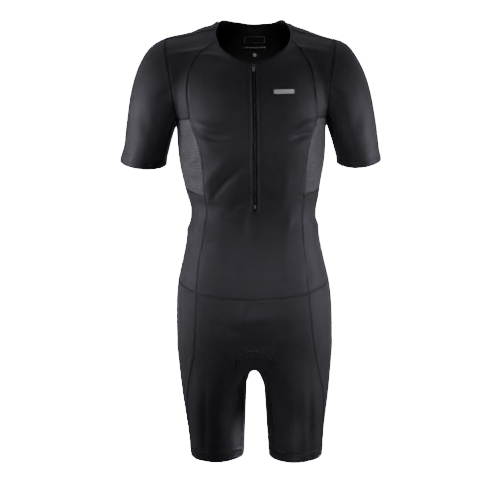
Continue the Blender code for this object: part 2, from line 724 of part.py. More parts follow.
def wall(chosen, outside=0.0, inside=WALL, gap=SEAM_GAP / 2):
    """Closed wall on the chosen skin faces, from outside to -inside along the skin normals."""
    field = sleeve_field if skin.panels[chosen[0]].startswith("sleeve") else body_field
    ring = {}
    for k in chosen:
        f = faces[k]
        for a, b in zip(f, f[1:] + f[:1]):
            ring[(a, b)] = True
    rim = [(a, b) for a, b in ring if (b, a) not in ring]
    inward, apart = {}, {}
    for a, b in rim:
        n = field[a] + field[b]
        m = np.cross(n, points[b] - points[a])
        m = m / np.linalg.norm(m)
        free = uses[(min(a, b), max(a, b))] == 1
        for v in (a, b):
            inward.setdefault(v, []).append(m)
            apart.setdefault(v, []).append(0.0 if free else gap * MM)
    used = sorted({v for k in chosen for v in faces[k]})
    local = {v: i for i, v in enumerate(used)}
    outer, inner = [], []
    for v in used:
        p, n = points[v], field[v]
        shift = np.zeros(3)
        if v in inward:
            m, d = inward[v], apart[v]
            grid = np.array([m[0], m[1], n])
            if abs(np.linalg.det(grid)) > 0.2:
                shift = np.linalg.solve(grid, np.array([d[0], d[1], 0.0]))
            else:
                mean = m[0] + m[1]
                shift = mean / np.linalg.norm(mean) * max(d)
        outer.append(p + shift + n * outside * MM)
        inner.append(p + shift - n * inside * MM)
    total = len(used)
    polys = []
    for k in chosen:
        for tri in split(faces[k]):
            polys.append([local[v] for v in tri])
            polys.append([local[v] + total for v in reversed(tri)])
    for a, b in rim:
        i, j = local[a], local[b]
        if a < b:
            polys += [[j, i, j + total], [i, i + total, j + total]]
        else:
            polys += [[j, i, i + total], [j, i + total, j + total]]
    return outer + inner, polys


panel_faces = {}
for k, name in enumerate(skin.panels):
    panel_faces.setdefault(name, []).append(k)
for name, chosen in panel_faces.items():
    if name == "neck_binding":
        verts, polys = wall(chosen, outside=BINDING_RAISE)
    else:
        verts, polys = wall(chosen)
    tone = MESH_GREY if name.startswith("mesh") else BLACK
    new_object(name, verts, polys, tone)

# ---------------------------------------------------------------- seat pad inside the crotch

pad_verts = set(ids_of(crotch_front)) | set(ids_of(crotch_back))
for row, reach in ((0, CROTCH_COLS), (1, CROTCH_COLS), (2, CROTCH_COLS - 1)):
    for j in list(range(0, reach + 1)) + list(range(LEG_COLS - reach, LEG_COLS)):
        pad_verts.add(skin.index[tuple(np.round(legs[row, j], 7))])
mirror = {}
for key, v in skin.index.items():
    mirror[v] = skin.index.get((round(-key[0], 7) if key[0] else key[0], key[1], key[2]), v)
pad_verts |= {mirror[v] for v in pad_verts}
pad_faces = [k for k, f in enumerate(faces) if all(v in pad_verts for v in f)]
verts, polys = wall(pad_faces, outside=-(WALL + PAD_GAP), inside=WALL + PAD_GAP + PAD_THICK, gap=0.0)
new_object("seat_pad", verts, polys, (0.03, 0.03, 0.035), 0.9)

# ---------------------------------------------------------------- zip tapes behind the slot

for side, sign in (("left", 1), ("right", -1)):
    verts, polys = [], []
    for k, (a, b) in enumerate(zip(zip_inner, zip_outer)):
        pa, pb, na, nb = points[a], points[b], normals[a], normals[b]
        if k == 0:
            a2, b2 = zip_inner[1], zip_outer[1]
            pa, pb = (pa + points[a2]) / 2, (pb + points[b2]) / 2
            na, nb = (na + normals[a2]) / 2, (nb + normals[b2]) / 2
        span = (pb[0] - pa[0]) / MM
        for x in (TAPE_INNER, SLOT_HALF, TAPE_REACH):
            t = (x - SLOT_HALF) / span
            n = na + (nb - na) * max(t, 0.0)
            n = n / np.linalg.norm(n)
            p = pa + (pb - pa) * t
            if x == TAPE_INNER:
                n = np.array([0.0, n[1], n[2]]) / np.linalg.norm(n[1:])
            for deep in (WALL + TAPE_GAP, WALL + TAPE_GAP + TAPE_THICK):
                q = p - n * deep * MM
                if x == TAPE_INNER:
                    q[0] = TAPE_INNER * MM
                verts.append(q * np.array([sign, 1, 1]))
    loop = [0, 2, 4, 5, 3, 1]
    rows = len(zip_inner)
    for k in range(rows - 1):
        for i, j in zip(loop, loop[1:] + loop[:1]):
            polys.append([6 * k + i, 6 * k + j, 6 * k + 6 + j, 6 * k + 6 + i])
    polys.append([loop[i] for i in range(5, -1, -1)])
    polys.append([6 * (rows - 1) + i for i in loop])
    if sign < 0:
        polys = [list(reversed(p)) for p in polys]
    new_object("zip_tape_" + side, verts, polys, (0.03, 0.03, 0.034), 0.8)

# ---------------------------------------------------------------- slider, bottom stop, pull tab

slot_line = [(points[v] + points[v] * np.array([-1, 1, 1])) / 2 for v in zip_inner]
slot_heights = [p[2] for p in slot_line]


def slot_frame(drop):
    """Frame on the slot centre: X across, Y up the slot, Z outward from the cloth."""
    z = (NECK_RISE - drop) * MM
    k = int(np.clip(np.searchsorted(slot_heights, z), 1, len(slot_heights) - 1))
    t = (z - slot_heights[k - 1]) / (slot_heights[k] - slot_heights[k - 1])
    spot = slot_line[k - 1] + (slot_line[k] - slot_line[k - 1]) * t
    up = slot_line[k] - slot_line[k - 1]
    up = Vector((0.0, up[1], up[2])).normalized()
    across = Vector((1, 0, 0))
    out = across.cross(up)
    frame = Matrix((across, up, out)).transposed().to_4x4()
    frame.translation = Vector(spot)
    return frame


def block(x0, x1, y0, y1, z0, z1):
    verts = [(x * MM, y * MM, z * MM) for z in (z0, z1) for y in (y0, y1) for x in (x0, x1)]
    polys = [(0, 2, 3, 1), (4, 5, 7, 6), (0, 1, 5, 4), (2, 6, 7, 3), (0, 4, 6, 2), (1, 3, 7, 5)]
    return verts, polys


SLIDER_DROP, SLIDER_HALF_LONG, SLIDER_HALF_WIDE = 97.0, 5.5, 3.2
SLIDER_BACK, SLIDER_FACE = -1.45, 1.0
BRIDGE_HALF_WIDE, BRIDGE_LOW, BRIDGE_HIGH = 0.9, -1.7, 5.0
BRIDGE_POST, BRIDGE_HOLE_TOP, BRIDGE_TOP = 0.9, 3.3, 4.1
HINGE_UP, HINGE_OUT = 0.3, 2.1
TAB_HALF_WIDE, TAB_HALF_THICK, TAB_LONG = 2.8, 0.6, 16.5
TAB_HOLE_HALF, TAB_HOLE_LONG, TAB_BAR = 1.5, 5.6, 0.6
STOP_DROP = 391.0

frame = slot_frame(SLIDER_DROP)
verts, polys = block(-SLIDER_HALF_WIDE, SLIDER_HALF_WIDE, -SLIDER_HALF_LONG, SLIDER_HALF_LONG,
                     SLIDER_BACK, SLIDER_FACE)
slider = new_object("zip_slider", verts, polys, METAL, 0.35, 1.0)
slider.matrix_world = frame
taper = bmesh.new()
taper.from_mesh(slider.data)
for v in taper.verts:
    if v.co.y < 0:
        v.co.x *= 0.78
bmesh.ops.bevel(taper, geom=[e for e in taper.edges if abs(e.verts[0].co.z - e.verts[1].co.z) > 0.002],
                offset=0.0011, segments=2, affect="EDGES")
taper.to_mesh(slider.data)
taper.free()

low, high, post = BRIDGE_LOW, BRIDGE_HIGH, BRIDGE_POST
sink = SLIDER_FACE - 0.5
outside_line = [(low, sink), (high, sink), (high, BRIDGE_TOP - 0.8), (high - 1.0, BRIDGE_TOP),
                (low + 1.0, BRIDGE_TOP), (low, BRIDGE_TOP - 0.8)]
inside_line = [(low + post, SLIDER_FACE), (high - post, SLIDER_FACE),
               (high - post, BRIDGE_HOLE_TOP - 0.4), (high - post - 0.5, BRIDGE_HOLE_TOP),
               (low + post + 0.5, BRIDGE_HOLE_TOP), (low + post, BRIDGE_HOLE_TOP - 0.4)]
verts = [(x * BRIDGE_HALF_WIDE * MM, a * MM, b * MM)
         for x in (-1, 1) for line in (outside_line, inside_line) for a, b in line]
n = len(outside_line)
polys = []
for i in range(n):
    j = (i + 1) % n
    polys.append((i, n + i, n + j, j))
    polys.append((2 * n + i, 2 * n + j, 3 * n + j, 3 * n + i))
    polys.append((i, j, 2 * n + j, 2 * n + i))
    polys.append((n + i, 3 * n + i, 3 * n + j, n + j))
bridge = new_object("zip_bridge cutter", verts, polys, METAL, 0.35, 1.0, home=cutters)
bridge.matrix_world = frame
bridge.hide_render = True
bridge.display_type = "WIRE"
join = slider.modifiers.new("bridge", "BOOLEAN")
join.operation, join.solver, join.object = "UNION", "EXACT", bridge

hinge = frame @ Matrix.Translation(Vector((0, HINGE_UP, HINGE_OUT)) * MM)
w, b, hw, hl = TAB_HALF_WIDE, TAB_BAR, TAB_HOLE_HALF, TAB_HOLE_LONG
end = TAB_LONG
flat = [(-w + 0.6, b), (w - 0.6, b), (w, b - 0.6), (w, -hl), (w, 1.4 - end), (w - 1.4, -end), (1.4 - w, -end),
        (-w, 1.4 - end), (-w, -hl), (-w, b - 0.6), (-hw, -b), (hw, -b), (hw, -hl), (-hw, -hl)]
tops = [(0, 10, 11, 1), (1, 11, 2), (2, 11, 12, 3), (3, 12, 13, 8, 7, 6, 5, 4), (8, 13, 10, 9), (9, 10, 0)]
verts = [(x * MM, y * MM, z * TAB_HALF_THICK * MM) for z in (-1, 1) for x, y in flat]
m = len(flat)
polys = [tuple(i for i in p) for p in tops] + [tuple(m + i for i in reversed(p)) for p in tops]
rim_out, rim_in = list(range(10)), [10, 11, 12, 13]
for i, j in zip(rim_out, rim_out[1:] + rim_out[:1]):
    polys.append((j, i, m + i, m + j))
for i, j in zip(rim_in, rim_in[1:] + rim_in[:1]):
    polys.append((i, j, m + j, m + i))
tab = new_object("zip_pull_tab", verts, polys, METAL, 0.35, 1.0)
tab.matrix_world = hinge

verts, polys = block(-1.7, 1.7, -4.5, 4.5, -1.45, 0.3)
stop = new_object("zip_bottom_stop", verts, polys, METAL, 0.35, 1.0)
stop.matrix_world = slot_frame(STOP_DROP)

# ---------------------------------------------------------------- how the worn suit hangs a little askew


def eased(value, start, end):
    t = min(max((value - start) / (end - start), 0.0), 1.0)
    return t * t * (3 - 2 * t)


def askew(spot):
    """A point of the even suit where it comes to hang: the front turns aside, one shoulder drops."""
    x, y, drop = spot[0] / MM, spot[1] / MM, NECK_RISE - spot[2] / MM
    wide = abs(x)
    front = eased(y, 5, -65)
    from_x = np.interp(drop, [0, 50, 90, 150], [90, 85, 32, 60])
    to_x = np.interp(drop, [0, 60, 150, 200], [175, 130, 130, 230])
    aside = np.interp(drop, *zip(*FRONT_ASIDE)) * front * (1 - eased(wide, from_x, to_x))
    aside += NECK_ASIDE * (1 - eased(drop, 30, 140)) * (1 - front) * (1 - eased(wide, 90, 175))
    outer = eased(wide, 110 + 35 * eased(drop, 40, 190), 185 + 45 * eased(drop, 40, 190))
    sink = SHOULDER_SINK * outer * (1 if x > 0 else eased(drop, 60, 220) - 1)
    at_waist = eased(wide, 40, 120) * eased(drop, 460, 560) * (1 - eased(drop, 600, 700))
    sink += at_waist * (4.0 if x > 0 else -1.5)
    sink += CROTCH_SINK * (1 - eased(wide, 22, 80)) * eased(drop, 610, 725) * (1 - eased(drop, 740, 800))
    sink += math.copysign(LEG_SINK, x) * eased(drop, 800, 930)
    return Vector((spot[0] + aside * MM, spot[1], spot[2] - sink * MM))


for obj in list(garment.objects) + list(cutters.objects):
    if obj.location.length > 0:
        obj.location = askew(obj.location)
    else:
        for v in obj.data.vertices:
            v.co = askew(v.co)
hinge.translation = askew(hinge.translation)

for obj in list(garment.objects) + list(cutters.objects):
    tidy = bmesh.new()
    tidy.from_mesh(obj.data)
    bmesh.ops.recalc_face_normals(tidy, faces=tidy.faces)
    tidy.to_mesh(obj.data)
    tidy.free()
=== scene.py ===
# %% [markdown]
# # A triathlon suit, dressed over its CAD frame
# The real suit is one skin of thin black knit, cut into seventeen flat pieces and sewn edge to edge.
# The CAD frame holds each cut piece as a plain wall. Here the walls give back one smooth skin, the
# skin gets its folds, and then it is cut again along its seams, stitched, hemmed and zipped.

# %% Load the frame
import math

import bmesh
import bpy
import numpy as np
from mathutils import Matrix, Vector
from mathutils.bvhtree import BVHTree
from mathutils.kdtree import KDTree


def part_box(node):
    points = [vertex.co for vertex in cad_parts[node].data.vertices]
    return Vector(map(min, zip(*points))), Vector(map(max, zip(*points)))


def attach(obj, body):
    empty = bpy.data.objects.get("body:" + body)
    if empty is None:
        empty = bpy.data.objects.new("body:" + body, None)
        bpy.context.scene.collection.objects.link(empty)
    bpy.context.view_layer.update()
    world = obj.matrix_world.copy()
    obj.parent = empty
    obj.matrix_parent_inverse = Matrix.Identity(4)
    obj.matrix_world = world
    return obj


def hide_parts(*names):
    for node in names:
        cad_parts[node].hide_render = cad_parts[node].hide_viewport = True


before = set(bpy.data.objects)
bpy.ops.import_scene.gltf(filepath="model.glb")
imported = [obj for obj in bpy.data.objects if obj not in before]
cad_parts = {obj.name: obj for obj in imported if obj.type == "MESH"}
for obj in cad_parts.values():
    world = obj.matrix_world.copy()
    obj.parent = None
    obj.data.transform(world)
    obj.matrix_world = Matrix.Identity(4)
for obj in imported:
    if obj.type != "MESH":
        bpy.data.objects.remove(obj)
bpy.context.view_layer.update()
bpy.ops.object.select_all(action="DESELECT")
MM = 0.001
DETAIL = 3        # halvings of each CAD face; 3 gives cells of about 1.6 mm

# %% [markdown]
# ## The camera
# The suit hangs straight in front of a long lens at chest height. A long lens keeps the sleeves and the
# hems almost as they are cut, and the small tilt from above shows the inside of the back of the neck.

# %% Place the camera
AIM = Vector((-0.0071, 0.0, -0.48421))
AZIMUTH, ELEVATION, ROLL = 0.0, math.radians(7.1), math.radians(-0.95)
DISTANCE, LENS = 2.425, 79.544

back = Vector((math.sin(AZIMUTH) * math.cos(ELEVATION), -math.cos(AZIMUTH) * math.cos(ELEVATION),
               math.sin(ELEVATION)))
right = (-back).cross(Vector((0, 0, 1))).normalized()
up = right.cross(-back)
across = right * math.cos(ROLL) + up * math.sin(ROLL)
upward = up * math.cos(ROLL) - right * math.sin(ROLL)
turn = Matrix((across, upward, back)).transposed().to_4x4()

bpy.ops.object.camera_add(location=AIM + back * DISTANCE, rotation=turn.to_euler())
camera = bpy.context.object
camera.data.lens = LENS
camera.data.sensor_width = 36.0
bpy.context.scene.camera = camera
print("camera at", [round(c, 3) for c in camera.location])

# %% [markdown]
# ## Colours and nodes
# Colours are read as they look on a screen and turned to the linear values that light needs.
# One small function adds any node with its settings and its links.

# %% Colour and node helpers


def linear(code):
    """Linear colour of an sRGB hex code."""
    parts = [int(code[i:i + 2], 16) / 255 for i in (1, 3, 5)]
    return tuple(c / 12.92 if c <= 0.04045 else ((c + 0.055) / 1.055) ** 2.4 for c in parts) + (1.0,)


def add_node(tree, kind, links=None, **settings):
    """A new node; links maps an input to a value or to another node's output."""
    node = tree.nodes.new(kind)
    for name, value in settings.items():
        setattr(node, name, value)
    for name, value in (links or {}).items():
        if isinstance(value, bpy.types.NodeSocket):
            tree.links.new(value, node.inputs[name])
        else:
            node.inputs[name].default_value = value
    return node


def new_material(name, colour, roughness, **constants):
    """A material with one Principled shader; constants are set on the shader itself."""
    material = bpy.data.materials.new(name)
    material.use_nodes = True
    shader = material.node_tree.nodes["Principled BSDF"]
    shader.inputs["Base Color"].default_value = linear(colour)
    shader.inputs["Roughness"].default_value = roughness
    for key, value in constants.items():
        shader.inputs[key.replace("_", " ")].default_value = value
    return material, material.node_tree, shader


# %% [markdown]
# ## The studio
# A round white sweep stands far around the suit and glows like paper in full light, so every side of
# the suit is seen against white. It gives no light of its own to the cloth: that comes from soft boxes
# a little behind both sides, which draw broad bright edges on black cloth, and from weaker ones above,
# behind and in front. The smallest boxes have a narrow grid, which lets their light out straight ahead
# only, so each lays one soft pool: on a sleeve, the belly, a leg or the inside of the neck.

# %% Build the white sweep
FLOOR_DROP = 1.45          # the suit hangs at about the height at which it is worn
SWEEP_RADIUS, SWEEP_HEIGHT, SWEEP_CORNER = 9, 14, 3.0
PAPER_GLOW = 30.0          # white in the view whatever the exposure does
bpy.ops.mesh.primitive_cylinder_add(vertices=96, radius=SWEEP_RADIUS, depth=SWEEP_HEIGHT,
                                    location=(0, 0, SWEEP_HEIGHT / 2 - FLOOR_DROP))
sweep = bpy.context.object
sweep.name = "studio_sweep"
bpy.ops.object.transform_apply(location=True)
bpy.ops.object.mode_set(mode="EDIT")
bpy.ops.mesh.select_mode(type="FACE")
bpy.ops.mesh.select_all(action="DESELECT")
cells = bmesh.from_edit_mesh(sweep.data)
for face in cells.faces:
    face.select = face.normal.z > 0.9
bmesh.update_edit_mesh(sweep.data)
bpy.ops.mesh.delete(type="FACE")
bpy.ops.mesh.select_all(action="SELECT")
bpy.ops.mesh.flip_normals()
bpy.ops.object.mode_set(mode="OBJECT")
bend = sweep.modifiers.new("round corner", "BEVEL")
bend.width, bend.segments, bend.limit_method = SWEEP_CORNER, 12, "ANGLE"
bpy.ops.object.modifier_apply(modifier="round corner")
bpy.ops.object.shade_smooth()
paper, paper_tree, paper_shader = new_material("matt_white_paper_sweep", "#ffffff", 0.9)
fibre = add_node(paper_tree, "ShaderNodeTexNoise", {"Scale": 3.0, "Detail": 2.0})
tint = add_node(paper_tree, "ShaderNodeMix", {"Factor": fibre.outputs["Fac"], "A": linear("#fdfdfd"),
                                              "B": linear("#ffffff")}, data_type="RGBA")
paper_tree.links.new(tint.outputs["Result"], paper_shader.inputs["Base Color"])
paper_shader.inputs["Emission Color"].default_value = (1, 1, 1, 1)
paper_shader.inputs["Emission Strength"].default_value = PAPER_GLOW
sweep.data.materials.append(paper)
sweep.visible_diffuse = sweep.visible_glossy = sweep.visible_shadow = False
print("sweep:", len(sweep.data.polygons), "faces")

# %% Hang the soft lights


def soft_light(name, place, aim, size, power, spread):
    """A rectangular soft box at place that looks at aim; a grid in front narrows its spread."""
    bpy.ops.object.light_add(type="AREA", location=place)
    light = bpy.context.object
    light.name = name
    light.data.shape = "RECTANGLE"
    light.data.size, light.data.size_y = size
    light.data.energy, light.data.spread = power, math.radians(spread)
    light.rotation_euler = (Vector(aim) - Vector(place)).to_track_quat("-Z", "Y").to_euler()


MIDDLE = (0.0, 0.0, -0.45)                 # the middle of the suit
NO_GRID = 180                              # the spread of an open box, degrees
SOFT_BOXES = [
    # name, place, what it looks at, width and height, power, spread
    ("left_edge", (2.2, 0.9, -0.3), MIDDLE, (1.0, 2.4), 7, NO_GRID),
    ("right_edge", (-2.2, 0.9, -0.3), MIDDLE, (1.0, 2.4), 7, NO_GRID),
    ("left", (2.4, -0.6, -0.45), (0.0, 0.0, -0.34), (1.4, 0.8), 3.6, 44),
    ("right", (-2.4, -0.6, -0.26), (0.0, 0.0, -0.18), (1.4, 0.8), 3.9, 38),
    ("top", (0.0, 0.7, 2.2), (0.0, 0.0, 0.0), (1.8, 1.0), 8, NO_GRID),
    ("belly", (0.0, -2.3, 0.5), (0.005, 0.0, -0.585), (0.4, 0.10), 0.14, 8),
    ("back", (0.5, 2.6, 0.6), (0.0, 0.1, -0.42), (0.8, 0.6), 0.9, 24),
    ("left_sleeve", (-1.3, -2.2, -0.5), (0.205, -0.03, -0.25), (0.10, 0.10), 0.042, 8),
    ("right_sleeve", (1.3, -2.2, -0.5), (-0.18, -0.03, -0.20), (0.10, 0.10), 0.022, 7),
    ("inner_leg", (1.2, -0.74, -0.9), (-0.020, -0.045, -0.92), (0.02, 0.12), 0.032, 3),
    ("leg", (0.5, -2.3, -0.6), (0.075, -0.07, -0.84), (0.06, 0.20), 0.010, 4),
    ("neck", (0.0, -1.1, 1.15), (0.010, 0.06, -0.04), (0.06, 0.04), 0.032, 7),
]
for name, place, aim, size, power, spread in SOFT_BOXES:
    soft_light(name + "_softbox", place, aim, size, power, spread)

AIR_GLOW = 0.075                           # so that no shadow is quite black
world = bpy.data.worlds.new("studio_air")
world.use_nodes = True
world.node_tree.nodes["Background"].inputs["Color"].default_value = (1, 1, 1, 1)
world.node_tree.nodes["Background"].inputs["Strength"].default_value = AIR_GLOW
bpy.context.scene.world = world

# %% [markdown]
# ## One skin from the cut pieces
# Each CAD wall has an outer face, an inner face and a thin rim. The rim is the only place with
# edges as short as the wall is thick, so taking out the faces on such edges parts the two sides,
# and the side that sees most open air is the outer one. The outer faces of all walls are
# then welded across their hairline seam gaps, because folds run over seams without a kink.

# %% Lift the outer face off every wall
CLOTH = [n for n in sorted(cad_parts) if not n.startswith("zip") and n != "seat_pad"]
RIM_EDGE = 2.4 * MM                        # only the rim has edges shorter than this
SEAM_WELD = 0.8 * MM                       # wider than a seam gap, narrower than any face


def select_only(*objects):
    bpy.ops.object.select_all(action="DESELECT")
    for obj in objects:
        obj.select_set(True)
    bpy.context.view_layer.objects.active = objects[0]


def loose_copy(node, name):
    """A copy of a CAD node to work on, with its loose triangles merged."""
    obj = bpy.data.objects.new(name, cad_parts[node].data.copy())
    bpy.context.scene.collection.objects.link(obj)
    obj.data.materials.clear()
    obj.data.materials.append(bpy.data.materials.new(name))
    obj.data.polygons.foreach_set("material_index", [0] * len(obj.data.polygons))
    select_only(obj)
    bpy.ops.object.mode_set(mode="EDIT")
    bpy.ops.mesh.select_mode(type="FACE")
    bpy.ops.mesh.select_all(action="SELECT")
    bpy.ops.mesh.remove_doubles(threshold=0.01 * MM)
    bpy.ops.mesh.select_all(action="DESELECT")
    return obj


def tree_of(objects):
    """A search tree over the faces of several meshes."""
    spots, rings = [], []
    for obj in objects:
        first = len(spots)
        spots += [v.co.copy() for v in obj.data.vertices]
        rings += [[first + i for i in p.vertices] for p in obj.data.polygons]
    return BVHTree.FromPolygons(spots, rings)


def islands(cells):
    """The faces of a mesh in groups that hang together."""
    left, groups = set(cells.faces), []
    while left:
        group, edge = set(), {left.pop()}
        while edge:
            group |= edge
            edge = {f for g in edge for e in g.edges for f in e.link_faces} & left
            left -= edge
        groups.append(group)
    return groups


def open_area(group):
    """The area of those faces that look into open air, past every wall."""
    return sum(f.calc_area() for f in group
               if walls.ray_cast(f.calc_center_median() + f.normal * 0.4 * MM, f.normal)[0] is None)


walls = tree_of([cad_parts[n] for n in CLOTH])
outer_faces = []
for name in CLOTH:
    piece = loose_copy(name, name + "_outer")
    cells = bmesh.from_edit_mesh(piece.data)
    for face in cells.faces:
        face.select = min(e.calc_length() for e in face.edges) < RIM_EDGE
    bmesh.update_edit_mesh(piece.data)
    bpy.ops.mesh.delete(type="FACE")
    cells = bmesh.from_edit_mesh(piece.data)
    kept = max(islands(cells), key=open_area)
    for face in cells.faces:
        face.select = face not in kept
    bmesh.update_edit_mesh(piece.data)
    bpy.ops.mesh.delete(type="FACE")
    bpy.ops.object.mode_set(mode="OBJECT")
    outer_faces.append(piece)
print("outer faces:", sum(len(o.data.polygons) for o in outer_faces), "triangles")

# %% Weld them to one skin of four-sided faces
select_only(*outer_faces)
bpy.ops.object.join()
skin = bpy.context.object
skin.name = "skin"
PANELS = [m.name.replace("_outer", "") for m in skin.data.materials]
bpy.ops.object.mode_set(mode="EDIT")
bpy.ops.mesh.select_all(action="SELECT")
bpy.ops.mesh.remove_doubles(threshold=SEAM_WELD)
bpy.ops.mesh.tris_convert_to_quads(face_threshold=math.pi, shape_threshold=math.pi, topology_influence=1.3)
bpy.ops.object.mode_set(mode="OBJECT")
print("skin:", len(skin.data.vertices), "points,", len(skin.data.polygons), "faces")

# %% [markdown]
# ## The flat cut
# Unwrapping lays every panel flat, as on the cutting table. That gives the knit a direction to run
# in and gives the real size of every cut. Sleeves and hem bands are tubes, so each gets one seam
# down the side that faces the body.

# %% Mark where the tubes are sewn shut


def tube_seam(cells, index):
    """Edges of a line up a tube, from the point of its open edge that is nearest to the body."""
    own = {f for f in cells.faces if f.material_index == index}
    rim = [v for e in cells.edges if e.is_boundary and e.link_faces[0] in own for v in e.verts]
    line, vert, edge = [], min(rim, key=lambda v: abs(v.co.x)), None
    while True:
        inside = [e for e in vert.link_edges if all(f in own for f in e.link_faces) and len(e.link_faces) == 2]
        if edge is None:
            options = inside
        else:
            options = [e for e in inside if e not in line and not set(e.link_faces) & set(edge.link_faces)]
        if not options:
            return line
        edge = max(options, key=lambda e: abs((e.other_vert(vert).co - vert.co).normalized().z))
        line.append(edge)
        vert = edge.other_vert(vert)


cells = bmesh.new()
cells.from_mesh(skin.data)
tube_lines = []
for tube in ("sleeve_left", "sleeve_right", "hem_band_left", "hem_band_right"):
    tube_lines += tube_seam(cells, PANELS.index(tube))
for edge in cells.edges:
    panels = {f.material_index for f in edge.link_faces}
    edge.seam = len(panels) > 1
    edge.smooth = True
for edge in tube_lines:
    edge.seam = True
cells.to_mesh(skin.data)
cells.free()
print("tube seams:", len(tube_lines), "edges")

# %% Lay the panels flat
select_only(skin)
while skin.data.uv_layers:
    skin.data.uv_layers.remove(skin.data.uv_layers[0])
skin.data.uv_layers.new(name="cut")
bpy.ops.object.mode_set(mode="EDIT")
bpy.ops.mesh.select_all(action="SELECT")
bpy.ops.uv.unwrap(method="CONFORMAL", margin=0.01)
bpy.ops.mesh.select_all(action="DESELECT")
cells = bmesh.from_edit_mesh(skin.data)
for face in cells.faces:                   # the slit front keeps its straight zip edges
    face.select = PANELS[face.material_index] != "front_panel"
bmesh.update_edit_mesh(skin.data)
bpy.ops.uv.unwrap(method="MINIMUM_STRETCH", iterations=40, margin=0.01)
bpy.ops.object.mode_set(mode="OBJECT")


def face_table(mesh):
    """Material index, corner start and corner count of every face, and the corners' vertices."""
    count = len(mesh.polygons)
    table = {}
    for key, kind in (("material_index", int), ("loop_start", int), ("loop_total", int)):
        table[key] = np.zeros(count, kind)
        mesh.polygons.foreach_get(key, table[key])
    table["corner"] = np.zeros(len(mesh.loops), int)
    mesh.loops.foreach_get("vertex_index", table["corner"])
    table["face_of_corner"] = np.repeat(np.arange(count), table["loop_total"])
    return table


def coordinates(mesh):
    flat = np.zeros(len(mesh.vertices) * 3)
    mesh.vertices.foreach_get("co", flat)
    return flat.reshape(-1, 3)


table = face_table(skin.data)
spots = coordinates(skin.data)
cut = np.zeros(len(skin.data.loops) * 2)
skin.data.uv_layers["cut"].data.foreach_get("uv", cut)
cut = cut.reshape(-1, 2)
FLAT = {}
for index, panel in enumerate(PANELS):
    mine = table["material_index"][table["face_of_corner"]] == index
    flat, real = cut[mine], spots[table["corner"][mine]]
    middle = flat.mean(axis=0)
    slope = np.linalg.lstsq(np.c_[flat - middle, np.ones(len(flat))], real[:, 2], rcond=None)[0][:2]
    if panel.startswith(("neck", "hem")):    # strips run along their length
        length_way = np.linalg.eigh(np.cov((flat - middle).T))[1][:, 1]
        slope = np.array([-length_way[1], length_way[0]])
    grain = slope / np.linalg.norm(slope)
    turned = (flat - middle) @ np.array([[grain[1], grain[0]], [-grain[0], grain[1]]])
    area_flat = area_real = 0.0
    for f in np.flatnonzero(table["material_index"] == index):
        ring = np.arange(table["loop_start"][f], table["loop_start"][f] + table["loop_total"][f])
        a, b, c = cut[ring[0]], cut[ring[1]], cut[ring[2]]
        d = cut[ring[-1]]
        area_flat += abs(np.cross(c - a, d - b)) / 2 if len(ring) == 4 else abs(np.cross(b - a, c - a)) / 2
        area_real += skin.data.polygons[int(f)].area
    turned *= math.sqrt(area_real / area_flat)
    cut[mine] = turned
    size = turned.max(axis=0) - turned.min(axis=0)
    FLAT[panel] = (float(size[0]), float(size[1]), area_real)
    print(f"{panel}: cut {size[0] * 1000:.0f} x {size[1] * 1000:.0f} mm, {area_real * 1e4:.0f} cm2")
skin.data.uv_layers["cut"].data.foreach_set("uv", cut.ravel())

# %% [markdown]
# ## Smoothing the skin
# Cloth that spans two shoulder blades lies flat between them, with no ridge, so the middle of the back
# is evened out first: each point there moves towards its neighbours in the same row. Subdivision then
# turns every CAD face into a patch of small soft ones and carries the flat cut along. It is corrected
# until the soft skin runs through every point it started from, or the neck and hems would shrink.

# %% Even out the middle of the back


def ramp(value, start, end):
    """0 before start, 1 after end, smooth between them."""
    t = np.clip((value - start) / (end - start), 0, 1)
    return t * t * (3 - 2 * t)


def ease_rows(mesh, spots, weight, rounds):
    """Moves each point front to back towards its two neighbours in the same level row."""
    ends = np.zeros(len(mesh.edges) * 2, int)
    mesh.edges.foreach_get("vertices", ends)
    ends = ends.reshape(-1, 2)
    step = spots[ends[:, 1]] - spots[ends[:, 0]]
    level = np.abs(step[:, 2]) < 0.4 * np.linalg.norm(step, axis=1)
    a, b = ends[level].T
    near, count = np.r_[a, b], np.bincount(np.r_[a, b], minlength=len(spots))
    eased = spots.copy()
    for _ in range(rounds):
        middle = np.bincount(near, eased[np.r_[b, a], 1], len(spots)) / np.maximum(count, 1)
        eased[:, 1] += (middle - eased[:, 1]) * 0.8 * weight * (count > 1)
    return eased


BACK_MIDDLE, BACK_STRIP = -7, (26, 66)     # across, and where beside it the easing starts to fade and ends
BACK_FADE = (400, 560)                     # where it fades downwards; millimetres below the origin
EASE_ROUNDS = 6
spots = coordinates(skin.data)
strip = (1 - ramp(np.abs(spots[:, 0] / MM - BACK_MIDDLE), *BACK_STRIP)) * (spots[:, 1] > 0)
spots = ease_rows(skin.data, spots, strip * (1 - ramp(-spots[:, 2] / MM, *BACK_FADE)), EASE_ROUNDS)
print("back evened by up to", round(float(np.abs(spots - coordinates(skin.data)).max()) / MM, 1), "mm")

# %% Subdivide
soft = skin.modifiers.new("soft", "SUBSURF")
soft.levels = soft.render_levels = DETAIL
soft.boundary_smooth = "PRESERVE_CORNERS"
true_spots = spots
control = true_spots.copy()                # smoothing pulls every point in, so each starts further out
for _ in range(4):
    skin.data.vertices.foreach_set("co", control.ravel())
    skin.data.update()
    smoothed = skin.evaluated_get(bpy.context.evaluated_depsgraph_get()).data
    control += true_spots - coordinates(smoothed)[:len(control)]
skin.data.vertices.foreach_set("co", control.ravel())
skin.data.update()
select_only(skin)
bpy.ops.object.modifier_apply(modifier="soft")
miss = np.linalg.norm(coordinates(skin.data)[:len(control)] - true_spots, axis=1)
print("largest miss of a starting point:", round(float(miss.max()) / MM, 2), "mm")
bpy.ops.object.shade_smooth()
print("soft skin:", len(skin.data.polygons), "faces")

